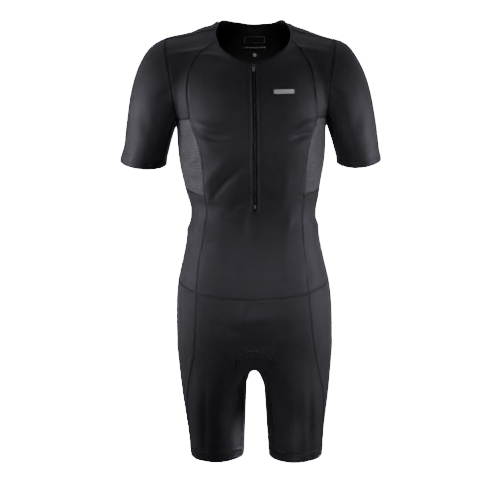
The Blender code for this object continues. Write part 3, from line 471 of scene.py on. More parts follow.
# %% [markdown]
# ## Folds
# Filled-out elastic cloth has few folds, and they are soft: pulls that fan out of the armpits,
# drags across the ribs, sags over the waist and creases where the legs begin. Each is a long
# shallow dent or ridge, given by its place, its angle and its size, so it can be moved by hand.
# They are laid before the skin is cut, so that a fold runs over a seam. A cloth simulation would make
# folds of its own. A table keeps them where this suit has them, and is quicker.

# %% List the folds
# Each row: across, down, angle, half length, half width, height, bend; millimetres and degrees.
# Across and down are read as they look from that side, down from the neck points.
FOLDS = {
    "front": [
        # shoulders and chest
        (-128, 66, 3, 46, 6, 2.4, 0), (-88, 74, -16, 40, 6, 2.2, -3), (-104, 92, -8, 60, 12, -1.6, 0),
        (118, 62, -4, 56, 6, 1.6, 0), (112, 80, -4, 56, 9, -1.0, 0),
        (-92, 224, -10, 32, 9, 4.0, 4), (-80, 246, -8, 30, 8, -4.2, 4), (-88, 272, -4, 26, 12, 1.6, 2),
        (118, 222, 12, 28, 9, 3.4, -4), (108, 243, 10, 28, 8, -3.6, -4), (-150, 128, 70, 46, 12, -1.4, 6),
        (150, 126, -74, 42, 12, -1.3, -6),
        # midriff and belly
        (-53, 336, 43, 40, 7, -3.4, -3), (-76, 316, 42, 44, 12, 2.8, -3), (-30, 346, 44, 26, 10, 0.9, 0),
        (-32, 388, 22, 18, 7, -2.8, 0), (-20, 430, 84, 34, 9, -2.2, 0), (-4, 434, 86, 38, 11, 1.8, 0),
        (68, 352, 80, 36, 13, 2.2, 4), (38, 380, 84, 60, 16, -2.0, 0), (76, 428, 70, 22, 9, 2.0, 0),
        (98, 372, 20, 22, 7, -1.5, 0), (-84, 420, -8, 34, 9, -1.2, 0), (-26, 520, 82, 46, 16, 2.0, 0),
        (30, 520, 88, 52, 17, -1.8, 0), (66, 494, 84, 50, 14, 1.3, 0), (-92, 366, 84, 34, 8, 1.4, 0),
        (116, 540, 80, 20, 8, -1.6, 0), (-100, 470, 10, 24, 7, -1.0, 0),
        # lap and thighs
        (-22, 606, 80, 34, 12, 3.4, 0), (0, 632, 6, 46, 13, 4.4, 0), (4, 690, 2, 42, 20, -7.0, 0),
        (-56, 650, -26, 38, 9, -2.6, 4), (56, 660, 28, 38, 9, -2.6, -4), (-64, 676, -28, 36, 10, 1.8, 4),
        (66, 688, 30, 36, 10, 1.8, -4),
        (-112, 862, 87, 90, 10, -3.0, 0), (-78, 850, 88, 100, 14, 2.4, 0), (-42, 800, 74, 50, 9, -3.0, 0),
        (-31, 905, 83, 60, 8, 3.0, 0), (76, 850, 90, 110, 15, 2.4, 0), (118, 866, 92, 90, 10, -3.0, 0),
        (32, 830, 95, 60, 9, -2.0, 0),
        # sleeves
        (-182, 235, 78, 62, 11, -2.4, 0), (-214, 250, 80, 66, 15, 2.2, 0), (178, 245, -80, 60, 11, -2.4, 0),
        (210, 235, -80, 64, 14, 2.2, 0), (-176, 152, 44, 26, 8, -2.2, 4), (178, 156, -44, 24, 8, -2.2, -4),
        # net under the wearer's right arm, then under the left one
        (-128, 250, 82, 20, 5, 1.6, 0), (-134, 282, 24, 14, 3.5, -1.2, 0), (-126, 296, 18, 16, 3.5, 1.2, 0),
        (-132, 310, 14, 14, 3.0, -1.1, 0), (-124, 324, 8, 16, 3.5, 1.1, 0), (-130, 338, 6, 14, 3.0, -1.0, 0),
        (-120, 350, -8, 14, 3.5, 1.0, 0), (138, 258, 52, 20, 3.5, 1.7, 4), (144, 272, 50, 20, 3.0, -1.6, 4),
        (138, 286, 48, 20, 3.5, 1.7, 4), (146, 300, 40, 18, 3.0, -1.5, 4), (136, 312, 30, 18, 3.5, 1.5, 3),
        (144, 326, 22, 16, 3.0, -1.3, 2), (132, 338, 14, 15, 3.5, 1.2, 0), (140, 350, 6, 14, 3.0, -1.0, 0),
    ],
    "back": [
        (-70, 96, 12, 40, 11, 1.6, 3), (76, 98, -12, 40, 11, 1.6, 3), (0, 170, 88, 70, 34, -1.8, 0),
        (-104, 176, 62, 44, 11, -1.8, 4), (102, 180, -60, 44, 11, -1.8, -4), (-60, 268, 20, 44, 10, 1.5, 3),
        (56, 280, -18, 46, 10, 1.5, -3), (-20, 372, 10, 52, 9, -2.4, 3), (30, 392, -8, 54, 9, -2.2, -3),
        (-36, 414, 6, 50, 10, 1.8, 0), (22, 436, -6, 52, 10, -1.8, 0), (-60, 452, 12, 36, 9, 1.6, 0),
        (64, 350, -16, 34, 8, -1.6, 0), (-82, 340, 18, 32, 8, -1.6, 0), (0, 640, 90, 50, 10, -2.4, 0),
        (-54, 716, -20, 44, 9, -2.6, 5), (54, 718, 20, 44, 9, -2.6, 5), (-60, 740, -16, 46, 10, 1.8, 5),
        (60, 742, 16, 46, 10, 1.8, 5), (-84, 850, 88, 90, 14, 1.8, 0), (86, 852, 92, 90, 14, 1.8, 0),
        (-118, 840, 86, 70, 10, -1.8, 0), (118, 842, 94, 70, 10, -1.8, 0), (-190, 220, 80, 50, 11, -2.0, 0),
        (190, 222, -80, 50, 11, -2.0, 0), (-172, 168, 40, 26, 8, -2.0, 3), (172, 170, -40, 26, 8, -2.0, -3),
    ],
    "left": [
        (-20, 200, 100, 52, 12, 1.6, 0), (14, 236, 96, 60, 11, -1.6, 0), (0, 392, 4, 60, 30, 5.0, 0),
        (10, 420, 8, 46, 8, -1.6, 4), (-12, 440, 4, 40, 8, 1.4, 0), (0, 640, 90, 90, 20, 1.4, 0),
        (30, 700, 70, 60, 14, -1.4, 0), (-26, 780, 88, 70, 12, -1.4, 0),
    ],
    "right": [
        (20, 200, 78, 52, 12, 1.6, 0), (-14, 236, 84, 60, 11, -1.6, 0), (0, 290, 0, 60, 22, 5.0, 0),
        (-10, 424, -8, 46, 8, -1.6, 4), (12, 444, -4, 40, 8, 1.4, 0), (0, 640, 90, 90, 20, 1.4, 0),
        (-30, 700, -70, 60, 14, -1.4, 0), (26, 780, 92, 70, 12, -1.4, 0),
    ],
}
# Where the shoulders and the neck stand up: x, y, half sizes in x and y, lift.
LIFTS = [(-96, 8, 26, 40, 7.0), (-69, 16, 9.5, 36, 9.5), (-36, 48, 26, 24, 4.0), (-150, 8, 40, 40, 1.8),
         (84, 20, 12, 44, 5.0), (206, 10, 28, 40, 6.0), (-212, 10, 26, 36, 2.5)]
print("folds:", {name: len(rows) for name, rows in FOLDS.items()}, "and", len(LIFTS), "lifts")

# %% Lay the folds
# For each side: the way of looking, and what then points to the right.
LOOKS = {"front": ((0, 1, 0), (1, 0, 0)), "back": ((0, -1, 0), (-1, 0, 0)),
         "left": ((-1, 0, 0), (0, 1, 0)), "right": ((1, 0, 0), (0, -1, 0))}
UPRIGHT = Vector((0, 0, 1))
NECK_TOP = 10                              # the neck points' height above the origin, millimetres
BELL_END, BELL_SIDE, BELL_DEPTH = 2.4, 2.6, 70   # past these half lengths, half widths and mm a fold is flat


def at_drop(drop):
    """The height, in metres, of a drop in millimetres below the neck points."""
    return (NECK_TOP - drop) * MM


def distance_to_points(points, spots):
    """Distance in millimetres from every spot to the nearest of some points."""
    tree = KDTree(len(points))
    for index, point in enumerate(points):
        tree.insert(point, index)
    tree.balance()
    return np.array([tree.find(spot)[2] for spot in spots]) / MM


def lay_folds(spots, normals, tables):
    """Moves the points along their normals by every fold near them. A fold lies where a straight look
    from its side first meets the skin, and runs along the skin from there."""
    tree, moved = tree_of([skin]), spots.copy()
    table = face_table(skin.data)
    bound = table["material_index"][table["face_of_corner"]] == PANELS.index("neck_binding")
    binding = spots[np.unique(table["corner"][bound])]
    loose = ramp(distance_to_points(binding, spots), 1, 20)      # the neck binding stays smooth
    for name, rows in tables.items():
        look, side = (Vector(v) for v in LOOKS[name])
        for across, down, angle, long, wide, rise, bend in rows:
            start = side * across * MM + UPRIGHT * (NECK_TOP - down) * MM - look
            centre, face = tree.ray_cast(start, look)[:2]
            run = side * math.cos(math.radians(angle)) + UPRIGHT * math.sin(math.radians(angle))
            run = (run - run.project(face)).normalized()
            off = face.cross(run)
            rel = (spots - np.array(centre)) / MM
            along, deep = rel @ np.array(run) / long, rel @ np.array(face)
            aside = (rel @ np.array(off) - bend * along ** 2) / wide
            facing = normals @ np.array(face)
            there = (np.abs(along) < BELL_END) & (np.abs(aside) < BELL_SIDE)
            there &= (facing > 0.0) & (np.abs(deep) < BELL_DEPTH)
            amount = rise * MM * np.exp(-along[there] ** 2 - aside[there] ** 2)
            amount *= np.clip(facing[there] / 0.4, 0, 1) * loose[there]
            moved[there] += normals[there] * amount[:, None]
    high = np.clip(spots[:, 2] / MM + 90, 0, 40) / 40            # all of a lift at the top, none 90 mm down
    for x, y, wide, deep, lift in LIFTS:
        near = np.exp(-((spots[:, 0] / MM - x) / wide) ** 2 - ((spots[:, 1] / MM - y) / deep) ** 2)
        moved[:, 2] += lift * MM * near * high
    return moved


def normals_of(mesh):
    flat = np.zeros(len(mesh.vertices) * 3)
    mesh.vertices.foreach_get("normal", flat)
    return flat.reshape(-1, 3)


spots = lay_folds(coordinates(skin.data), normals_of(skin.data), FOLDS)
skin.data.vertices.foreach_set("co", spots.ravel())
skin.data.update()
reach = spots.max(axis=0) - spots.min(axis=0)
print("folded skin:", [round(float(c) / MM) for c in reach], "mm")

# %% [markdown]
# ## Seams
# Sports knit is joined by flatlock: the two raw edges meet in a shallow groove, two needle threads
# run beside it, and a looper thread zigzags between them. The seam lines are found on the skin
# where two panels meet, so the stitches sit exactly on the cut.

# %% Find every seam line


def edge_faces(mesh):
    """The vertices of every edge and the material indices on its two sides; -1 is open air."""
    table = face_table(mesh)
    edge_of_corner = np.zeros(len(mesh.loops), int)
    mesh.loops.foreach_get("edge_index", edge_of_corner)
    paint = table["material_index"][table["face_of_corner"]]
    order = np.argsort(edge_of_corner, kind="stable")
    edge_sorted, paint_sorted = edge_of_corner[order], paint[order]
    sides = np.full((len(mesh.edges), 2), -1)
    first = np.searchsorted(edge_sorted, np.arange(len(mesh.edges)))
    sides[:, 0] = paint_sorted[first]
    double = np.flatnonzero(np.bincount(edge_of_corner, minlength=len(mesh.edges)) == 2)
    sides[double, 1] = paint_sorted[first[double] + 1]
    ends = np.zeros(len(mesh.edges) * 2, int)
    mesh.edges.foreach_get("vertices", ends)
    return ends.reshape(-1, 2), np.sort(sides, axis=1)


def chains(pairs):
    """Unbroken lines of vertices from loose pairs; a closed line ends where it starts."""
    near = {}
    for a, b in pairs:
        near.setdefault(a, []).append(b)
        near.setdefault(b, []).append(a)
    left, lines = {frozenset(p) for p in pairs}, []
    starts = [v for v in near if len(near[v]) != 2] + list(near)
    for start in starts:
        while True:
            line = [start]
            while True:
                steps = [v for v in near[line[-1]] if frozenset((line[-1], v)) in left]
                if not steps:
                    break
                left.discard(frozenset((line[-1], steps[0])))
                line.append(steps[0])
                if len(near[line[-1]]) != 2:
                    break
            if len(line) < 2:
                break
            lines.append(line)
    return lines


ends, sides = edge_faces(skin.data)
spots = coordinates(skin.data)
sewn = (sides[:, 0] != sides[:, 1]) & (sides[:, 0] >= 0)
NECK = PANELS.index("neck_binding")
seam_lines, binding_lines = [], []
for pair in {tuple(p) for p in sides[sewn]}:
    chosen = ends[(sides == pair).all(axis=1)]
    (binding_lines if NECK in pair else seam_lines).extend(chains([tuple(e) for e in chosen.tolist()]))
open_lines = chains([tuple(e) for e in ends[sides[:, 0] < 0].tolist()])
length_of = lambda line: float(np.linalg.norm(np.diff(spots[line], axis=0), axis=1).sum())
print(f"seams: {len(seam_lines)} lines, {sum(map(length_of, seam_lines)):.2f} m;",
      "open edges:", [round(length_of(line) / MM) for line in open_lines], "mm")

# %% [markdown]
# ## Pressing seams, hems and the zip welt
# A seam lies a little lower than the cloth beside it, and a turned hem is two layers thick, so it
# stands a little higher up to its stitching. Both are laid into the skin by the distance to the line.

# %% Press the lines into the skin


def resample(points, step):
    """The points of a line at even steps along it."""
    points = np.asarray(points)
    run = np.r_[0, np.cumsum(np.linalg.norm(np.diff(points, axis=0), axis=1))]
    marks = np.linspace(0, run[-1], max(2, round(run[-1] / step) + 1))
    return np.stack([np.interp(marks, run, points[:, k]) for k in range(3)], axis=1)


def distance_to(lines, spots):
    """Distance in millimetres from every spot to the nearest of some lines."""
    return distance_to_points(np.concatenate([resample(line, 0.6 * MM) for line in lines]), spots)


SEAMS = [spots[line] for line in seam_lines]
BINDING_SEAMS = [spots[line] for line in binding_lines]
OPEN = [spots[line] for line in open_lines]
CUFFS = [line for line in OPEN if abs(line[:, 0]).min() > 150 * MM]   # only the sleeves end so far out
FRONT = PANELS.index("front_panel")            # its only open edge is the slot for the zip
slot_line = max(chains([tuple(e) for e in ends[(sides == (-1, FRONT)).all(axis=1)].tolist()]), key=len)
SLOT = spots[slot_line]

# where the seat pad is sewn to the shorts, one leg's half of the loop: x, y, drop
PAD_EDGE = [(0, -103, 698), (18, -102, 701), (31, -100, 709), (38, -97, 718), (41, -94, 727), (39, -90, 739),
            (32, -85, 750), (24, -72, 759), (20, -48, 768), (19, -12, 772), (19, 24, 774), (22, 54, 768),
            (32, 84, 754), (44, 104, 730), (46, 114, 700), (38, 120, 672), (22, 124, 652), (0, 124, 645)]
PAD_SHIFT = -1.5                           # the lap hangs a little to one side


def closed_curve(points, steps):
    """A smooth closed line through the points."""
    points = np.asarray(points, float)
    before, after, beyond = (np.roll(points, k, axis=0) for k in (1, -1, -2))
    line = []
    for a, b, c, d in zip(before, points, after, beyond):
        for t in np.arange(steps) / steps:
            line.append(0.5 * (2 * b + (c - a) * t + (2 * a - 5 * b + 4 * c - d) * t ** 2
                               + (3 * b - a - 3 * c + d) * t ** 3))
    return np.array(line + line[:1])


ring = [(PAD_SHIFT + x, y, drop) for x, y, drop in PAD_EDGE] + \
       [(PAD_SHIFT - x, y, drop) for x, y, drop in PAD_EDGE[-2:0:-1]]
whole_skin = tree_of([skin])
PAD_LINE = np.array([whole_skin.find_nearest(Vector((x * MM, y * MM, at_drop(drop))))[0]
                     for x, y, drop in closed_curve(ring, 8)])

HEM, WELT = 13.0, 5.0                      # widths of the sleeve hem and of the zip welt, millimetres


def groove(distance, wide):
    """1 on a line and almost 0 at twice that width beside it."""
    return np.exp(-(distance / wide) ** 2)


skin_normals = normals_of(skin.data)
to_seam = distance_to(SEAMS, spots)
to_cuff = distance_to(CUFFS, spots)
to_slot = distance_to([SLOT], spots)
to_binding = distance_to(BINDING_SEAMS, spots)
to_pad = distance_to([PAD_LINE], spots)
band_marks = [PANELS.index("hem_band_left"), PANELS.index("hem_band_right")]
in_band = np.zeros(len(spots), bool)
in_band[np.unique(ends[np.isin(sides, band_marks).all(axis=1)])] = True
# a seam is a groove with a low ridge beside it, and the binding only a shallower groove
rise = -0.9 * groove(to_seam, 1.7) + 0.4 * groove(to_seam - 3.8, 1.5)
rise -= 0.4 * groove(to_binding, 1.6)
# the hem and the welt stand up from their edge to their stitching, and the leg band all over
rise += 0.35 * (1 - ramp(to_cuff, HEM - 0.6, HEM + 0.6)) - 0.45 * groove(to_cuff - HEM - 0.4, 1.3)
rise += 1.3 * (1 - ramp(to_slot, WELT - 0.8, WELT + 0.6)) - 0.7 * groove(to_slot - WELT - 0.8, 1.2)
rise += 0.7 * in_band * ramp(to_seam, 0.3, 1.6)
# the pad's stitching pulls the cloth in, and the cloth swells beside it
rise += 1.3 * groove(to_pad - 2.8, 1.4) - 1.6 * groove(to_pad, 1.6)
spots = spots + skin_normals * (rise * MM)[:, None]
skin.data.vertices.foreach_set("co", spots.ravel())
skin.data.update()
SEAMS = [spots[line] for line in seam_lines]      # again, on the pressed skin
skin_tree = tree_of([skin])
print("slot:", len(SLOT), "points,", round(abs(float((SLOT[0] - SLOT[-1])[0])) / MM, 1), "mm wide at the top")

# %% [markdown]
# ## Cutting the panels apart
# The skin is cut along its seams into the same pieces as on the cutting table, and every piece gets
# the thickness of the knit on its inner side. The pieces still touch along their outer edges, because
# a sewn seam lets no light through.

# %% Part the panels and give them thickness
KNIT_THICK = 0.9                           # millimetres, and what is folded or elastic is thicker
THICK = {"neck_binding": 1.5, "hem_band_left": 1.2, "hem_band_right": 1.2}
select_only(skin)
bpy.ops.object.mode_set(mode="EDIT")
bpy.ops.mesh.select_all(action="SELECT")
bpy.ops.mesh.separate(type="MATERIAL")
bpy.ops.object.mode_set(mode="OBJECT")
cloth = {}
for piece in list(bpy.context.selected_objects):
    used = piece.data.materials[piece.data.polygons[0].material_index].name.replace("_outer", "")
    piece.name = used + "_cloth"
    piece.data.materials.clear()
    piece.data.polygons.foreach_set("material_index", [0] * len(piece.data.polygons))
    cloth[used] = piece
for name, piece in sorted(cloth.items()):
    thick = piece.modifiers.new("knit", "SOLIDIFY")
    thick.thickness, thick.offset, thick.material_offset = THICK.get(name, KNIT_THICK) * MM, -1, 1
    piece.data.materials.append(bpy.data.materials.new("outer_side"))
    piece.data.materials.append(bpy.data.materials.new("inner_side"))
    select_only(piece)
    bpy.ops.object.modifier_apply(modifier="knit")
    bpy.ops.object.shade_smooth_by_angle(angle=math.radians(50))
print("cloth pieces:", len(cloth), "with", sum(len(p.data.polygons) for p in cloth.values()), "faces")

# %% [markdown]
# ## Stitching
# Every thread is a fine line that follows the skin, because a painted stitch looks flat in a side
# light. Flatlock is one zigzag looper thread between two straight needle threads, and a hem is closed
# by two rows of single stitches.

# %% Sew the flatlock seams


def new_object(name, data):
    """Puts a mesh or a curve into the scene and selects it alone."""
    obj = bpy.data.objects.new(name, data)
    bpy.context.scene.collection.objects.link(obj)
    select_only(obj)
    return obj


def on_skin(point, lift):
    """The nearest place of the skin, raised along its normal, and that normal."""
    place, normal, _, _ = skin_tree.find_nearest(Vector(point))
    return place + normal * lift, normal


def frame_along(points, step):
    """Even places along a line on the skin, each with its normal and its sideways direction."""
    track = resample(points, step)
    tangents = np.gradient(track, axis=0)
    rows = []
    for point, tangent in zip(track, tangents):
        place, normal = on_skin(point, 0.0)
        rows.append((place, normal, normal.cross(Vector(tangent)).normalized()))
    return rows


def threads(name, lines, radius, sides=0):
    """One mesh of round threads along some lines of points."""
    curve = bpy.data.curves.new(name, "CURVE")
    curve.dimensions = "3D"
    curve.bevel_depth, curve.bevel_resolution, curve.use_fill_caps = radius, sides, True
    for line in lines:
        spline = curve.splines.new("POLY")
        spline.points.add(len(line) - 1)
        spline.points.foreach_set("co", [c for p in line for c in (*p, 1.0)])
    obj = new_object(name, curve)
    bpy.ops.object.convert(target="MESH")
    bpy.ops.object.shade_smooth()
    return obj


def flatlock(points, half, pitch):
    """The looper zigzag and the two needle rows of one seam."""
    zigzag, rows = [], ([], [])
    for index, (place, normal, aside) in enumerate(frame_along(points, pitch / 2)):
        sign = 1 if index % 2 else -1
        zigzag.append(on_skin(place + aside * half * sign, 0.16 * MM)[0])
        if index % 2 == 0:
            rows[0].append(on_skin(place + aside * half, 0.2 * MM)[0])
            rows[1].append(on_skin(place - aside * half, 0.2 * MM)[0])
    return [line for line in (zigzag, *rows) if len(line) > 1]


THREAD = 0.17 * MM                         # half as thick as the thread
FLATLOCK_HALF = 2.3 * MM
PITCH = 2.3 * MM
BAND_TOP = -0.88                           # only the seams of the hem bands lie below this, metres


def sew(name, lines):
    return threads(name, [t for line in lines for t in flatlock(line, FLATLOCK_HALF, PITCH)], THREAD)


seam_threads = sew("flatlock_threads", [line for line in SEAMS if line[:, 2].max() >= BAND_TOP])
band_threads = sew("band_threads", [line for line in SEAMS if line[:, 2].max() < BAND_TOP])
print("flatlock:", round(sum(float(np.linalg.norm(np.diff(s, axis=0), axis=1).sum()) for s in SEAMS), 2),
      "m,", len(seam_threads.data.polygons), "faces")

# %% Stitch the sleeve hems and the zip welt
slot_foot = int(np.argmin(SLOT[:, 2]))
slot_sides = [half[np.argsort(half[:, 2])] for half in (SLOT[:slot_foot + 1], SLOT[slot_foot:])]


def slot_middle(z):
    """Where the middle of the slot is across the front at some height."""
    return float(sum(np.interp(z, half[:, 2], half[:, 0]) for half in slot_sides) / 2)


def inset(points, distance, towards):
    """The line that runs at a distance from an edge, over the skin, on the side of a direction."""
    line = []
    for place, normal, aside in frame_along(points, 2 * MM):
        if aside.dot(towards(place)) < 0:
            aside.negate()
        for _ in range(4):
            place, normal = on_skin(place + aside * distance / 4, 0.0)
            aside = (aside - aside.project(normal)).normalized()
        line.append(place)
    return line


def dashes(points, stitch, gap, lift=0.16 * MM):
    """Single stitches along a line, each pulled down into the cloth at its ends."""
    track = resample(points, (stitch + gap) / 4)
    lines = []
    for start in range(0, len(track) - 4, 4):
        lines.append([on_skin(track[start], -0.1 * MM)[0], on_skin(track[start + 1], lift)[0],
                      on_skin(track[start + 2], lift)[0], on_skin(track[start + 3], -0.1 * MM)[0]])
    return lines


def up_the_sleeve(place):
    return Vector((-math.copysign(0.4, place.x), 0, 0.9))


def from_zip(place):
    """Away from the slot to both sides, and downwards at its foot."""
    across = place.x - slot_middle(place.z)
    return Vector((across, 0, -0.02 if abs(across) < 3.6 * MM else 0))


def from_pad(place):
    return Vector((place.x - PAD_SHIFT * MM, 0, place.z - PAD_MIDDLE))


def into_pad(place):
    return -from_pad(place)


STITCH = (2.5 * MM, 0.5 * MM)              # one stitch and the gap to the next
PAD_MIDDLE = -0.74                         # height of the middle of the pad, metres
hem_stitches = []
for cuff in CUFFS:
    for distance in (HEM - 2.4, HEM):
        hem_stitches += dashes(inset(cuff, distance * MM, up_the_sleeve), *STITCH)
hem_threads = threads("sleeve_hem_threads", hem_stitches, THREAD)
welt_threads = threads("zip_welt_threads", dashes(inset(SLOT, (WELT - 0.8) * MM, from_zip), *STITCH), THREAD)
pad_rows = [inset(PAD_LINE, 1.6 * MM, towards) for towards in (from_pad, into_pad)]
pad_threads = threads("pad_threads", [d for row in pad_rows for d in dashes(row, *STITCH)], THREAD)
print("hem stitches:", len(hem_stitches))

# %% [markdown]
# ## The zip
# Two woven tapes lie behind the slot, and on each stands one half of a nylon coil. A coil is a
# spring of bars, so one bar is modelled and copied up the front, and the other side sits half a
# step lower. The teeth follow the curve of the chest, which is read off the skin beside the slot.

# %% Weave the tapes behind the slot
SLIDER_LOW = Vector(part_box("zip_slider")[0])
STOP_HIGH = Vector(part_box("zip_bottom_stop")[1])


def front_of_skin(x, z):
    """The outer face of the chest at a place seen from the front."""
    hit = skin_tree.ray_cast(Vector((x, -0.4, z)), Vector((0, 1, 0)))
    return hit[0].y if hit[0] is not None else None


def zip_face(z):
    """Depth of the closed chest at the slot, carried over the slot from its two sides."""
    return sum(front_of_skin(slot_middle(z) + side * 11 * MM, z) for side in (-1, 1)) / 2


TAPE_TOP, TAPE_FOOT, TAPE_ROW = -82.6 * MM, -402 * MM, 2.0 * MM   # heights of its ends, and its rows
zip_rows = np.arange(TAPE_TOP, TAPE_FOOT, -TAPE_ROW)
zip_line =np.array([slot_middle(max(z, float(SLOT[slot_foot, 2]) + 6 * MM)) for z in zip_rows])
zip_depth = np.array([zip_face(z) for z in zip_rows])
zip_depth = np.convolve(np.pad(zip_depth, 4, mode="edge"), np.ones(9) / 9, mode="valid")
zip_tilt = np.gradient(zip_depth, zip_rows)


def zip_place(x, z, back):
    """A place on the zip: x across from its middle, z up, back behind the face of the cloth; metres."""
    middle, depth, tilt = (float(np.interp(-z, -zip_rows, row)) for row in (zip_line, zip_depth, zip_tilt))
    size = math.hypot(1, tilt)
    return Vector((middle + x, depth + back / size, z - back * tilt / size))


def zip_turn(z):
    """Turns a part modelled upright and facing -Y into the slope of the zip at that height."""
    tilt = float(np.interp(-z, -zip_rows, zip_tilt))
    return Matrix.Rotation(-math.atan(tilt), 4, "X")


def face_outwards():
    """Turns every face of the selected mesh to its outside."""
    bpy.ops.object.mode_set(mode="EDIT")
    bpy.ops.mesh.select_all(action="SELECT")
    bpy.ops.mesh.normals_make_consistent(inside=False)
    bpy.ops.object.mode_set(mode="OBJECT")
    bpy.ops.object.shade_smooth_by_angle(angle=math.radians(40))


TAPE_BACK, TAPE_EDGES = 1.35 * MM, (0.35 * MM, 10.6 * MM)   # behind the cloth, and from the middle outwards
tapes = {}
for name, side in (("zip_tape_left", 1), ("zip_tape_right", -1)):
    bpy.ops.mesh.primitive_grid_add(x_subdivisions=7, y_subdivisions=len(zip_rows) - 1, size=1)
    tape = bpy.context.object
    tape.name = name + "_woven"
    for vert in tape.data.vertices:
        x = side * (TAPE_EDGES[0] + (vert.co.x + 0.5) * (TAPE_EDGES[1] - TAPE_EDGES[0]))
        z = zip_rows[0] + (0.5 - vert.co.y) * (zip_rows[-1] - zip_rows[0])
        vert.co = zip_place(x, z, TAPE_BACK + (abs(x) / MM) ** 2 * 0.004 * MM)
    thick = tape.modifiers.new("weave", "SOLIDIFY")
    thick.thickness, thick.offset = 0.6 * MM, -1 if side > 0 else 1
    bpy.ops.object.modifier_apply(modifier="weave")
    face_outwards()
    tapes[name] = tape
print("tapes:", [len(t.data.polygons) for t in tapes.values()], "faces")

# %% Wind the coil
BAR_LONG, BAR_RADIUS, HEAD_RADIUS = 2.3 * MM, 0.46 * MM, 0.58 * MM
COIL_PITCH = 1.5 * MM                      # a little coarser than real, so that the bars show
bpy.ops.mesh.primitive_cylinder_add(vertices=6, radius=BAR_RADIUS, depth=BAR_LONG,
                                    rotation=(0, math.pi / 2, 0))
bar = bpy.context.object
bpy.ops.object.transform_apply(rotation=True)
bpy.ops.mesh.primitive_uv_sphere_add(segments=8, ring_count=5, radius=HEAD_RADIUS,
                                     location=(-BAR_LONG / 2, 0, 0))
head = bpy.context.object
select_only(bar, head)
bpy.ops.object.join()
bar.name = "zip_bar"
bar_points, bar_rings = coordinates(bar.data), [tuple(p.vertices) for p in bar.data.polygons]
bpy.data.objects.remove(bar)

chain_top, chain_end = SLIDER_LOW.z + 1.5 * MM, STOP_HIGH.z + 0.4 * MM
coils = {}
for name, side in (("zip_coil_left", 1), ("zip_coil_right", -1)):
    points, rings = [], []
    shape = bar_points * np.array([side, 1, 1])
    count = int((chain_top - chain_end) / COIL_PITCH)
    for step in range(count):
        z = chain_top - (step + (0.5 if side > 0 else 0.0)) * COIL_PITCH
        spin = zip_turn(z) @ Matrix.Rotation(math.radians(7 * side), 4, "Y")
        turned = shape @ np.array(spin.to_3x3()).T
        place = zip_place(side * (BAR_LONG / 2 - 0.5 * MM), z, TAPE_BACK - 0.42 * MM)
        first = len(points) * len(shape)
        points.append(turned + np.array(place))
        rings += [[first + i for i in (ring if side > 0 else ring[::-1])] for ring in bar_rings]
    mesh = bpy.data.meshes.new(name)
    mesh.from_pydata(np.concatenate(points).tolist(), [], rings)
    coils[name] = new_object(name, mesh)
    bpy.ops.object.shade_smooth_by_angle(angle=math.radians(60))
print("coil bars:", count, "a side")

# %% Run a cord and a stitch line beside the coil
cord_lines = [[zip_place(x * MM, z, TAPE_BACK - 0.1 * MM) for z in np.arange(chain_top, chain_end, -2 * MM)]
              for x in (-2.9, -2.0, 2.0, 2.9)]
tape_threads = threads("zip_tape_threads", cord_lines, 0.2 * MM)
TACK_DROP, TACK_HALF = 408, 10             # a close zigzag across the foot of the zip, three turns a mm
tack = []
for index in range(2 * TACK_HALF * 3 + 1):
    x = zip_line[-1] + (index / 3 - TACK_HALF) * MM
    z = at_drop(TACK_DROP) + (1.0 * MM if index % 2 else -1.0 * MM)
    tack.append(on_skin((x, front_of_skin(x, z), z), 0.25 * MM)[0])
bar_tack = threads("zip_bar_tack", [tack], 0.34 * MM)
print("bar tack:", len(tack), "points")

# %% Finish the slider, the pull tab and the bottom stop
# Cast zinc is tumbled before it is painted, so each gets rounded edges, here with their width in mm.
metal = {}
for node, edge in (("zip_slider", 0.35), ("zip_pull_tab", 0.25), ("zip_bottom_stop", 0.3)):
    part = loose_copy(node, node + "_metal")
    bpy.ops.mesh.select_all(action="SELECT")
    bpy.ops.mesh.dissolve_limited(angle_limit=math.radians(2))
    bpy.ops.object.mode_set(mode="OBJECT")
    soft = part.modifiers.new("soft edges", "BEVEL")
    soft.width, soft.segments, soft.limit_method = edge * MM, 3, "ANGLE"
    soft.angle_limit = math.radians(28)
    bpy.ops.object.modifier_apply(modifier="soft edges")
    bpy.ops.object.shade_smooth_by_angle(angle=math.radians(35))
    part.data.materials.clear()
    metal[node] = part
print("metal:", {n: len(p.data.polygons) for n, p in metal.items()})

# %% [markdown]
# ## The seat pad
# The pad is a foam insert sewn inside the shorts, so almost all of it is hidden. It is softened from
# its CAD form.

# %% Soften the pad
pad = loose_copy("seat_pad", "seat_pad_foam")
bpy.ops.mesh.select_all(action="SELECT")
bpy.ops.mesh.tris_convert_to_quads(face_threshold=math.pi, shape_threshold=math.pi, topology_influence=1.3)
bpy.ops.object.mode_set(mode="OBJECT")
smooth = pad.modifiers.new("soft foam", "SUBSURF")
smooth.levels = smooth.render_levels = DETAIL
bpy.ops.object.modifier_apply(modifier="soft foam")
bpy.ops.object.shade_smooth()
pad.data.materials.clear()
print("pad:", len(pad.data.polygons), "faces")

# %% [markdown]
# ## Plain marks
# Where sportswear carries prints, this suit stays bare or plain: a reflective bar on the chest, and
# a blank label and a round dot on the inside of the back.

# %% Lay the bar, the label and the dot on the cloth
inner_tree = tree_of([cloth["back_panel"]])


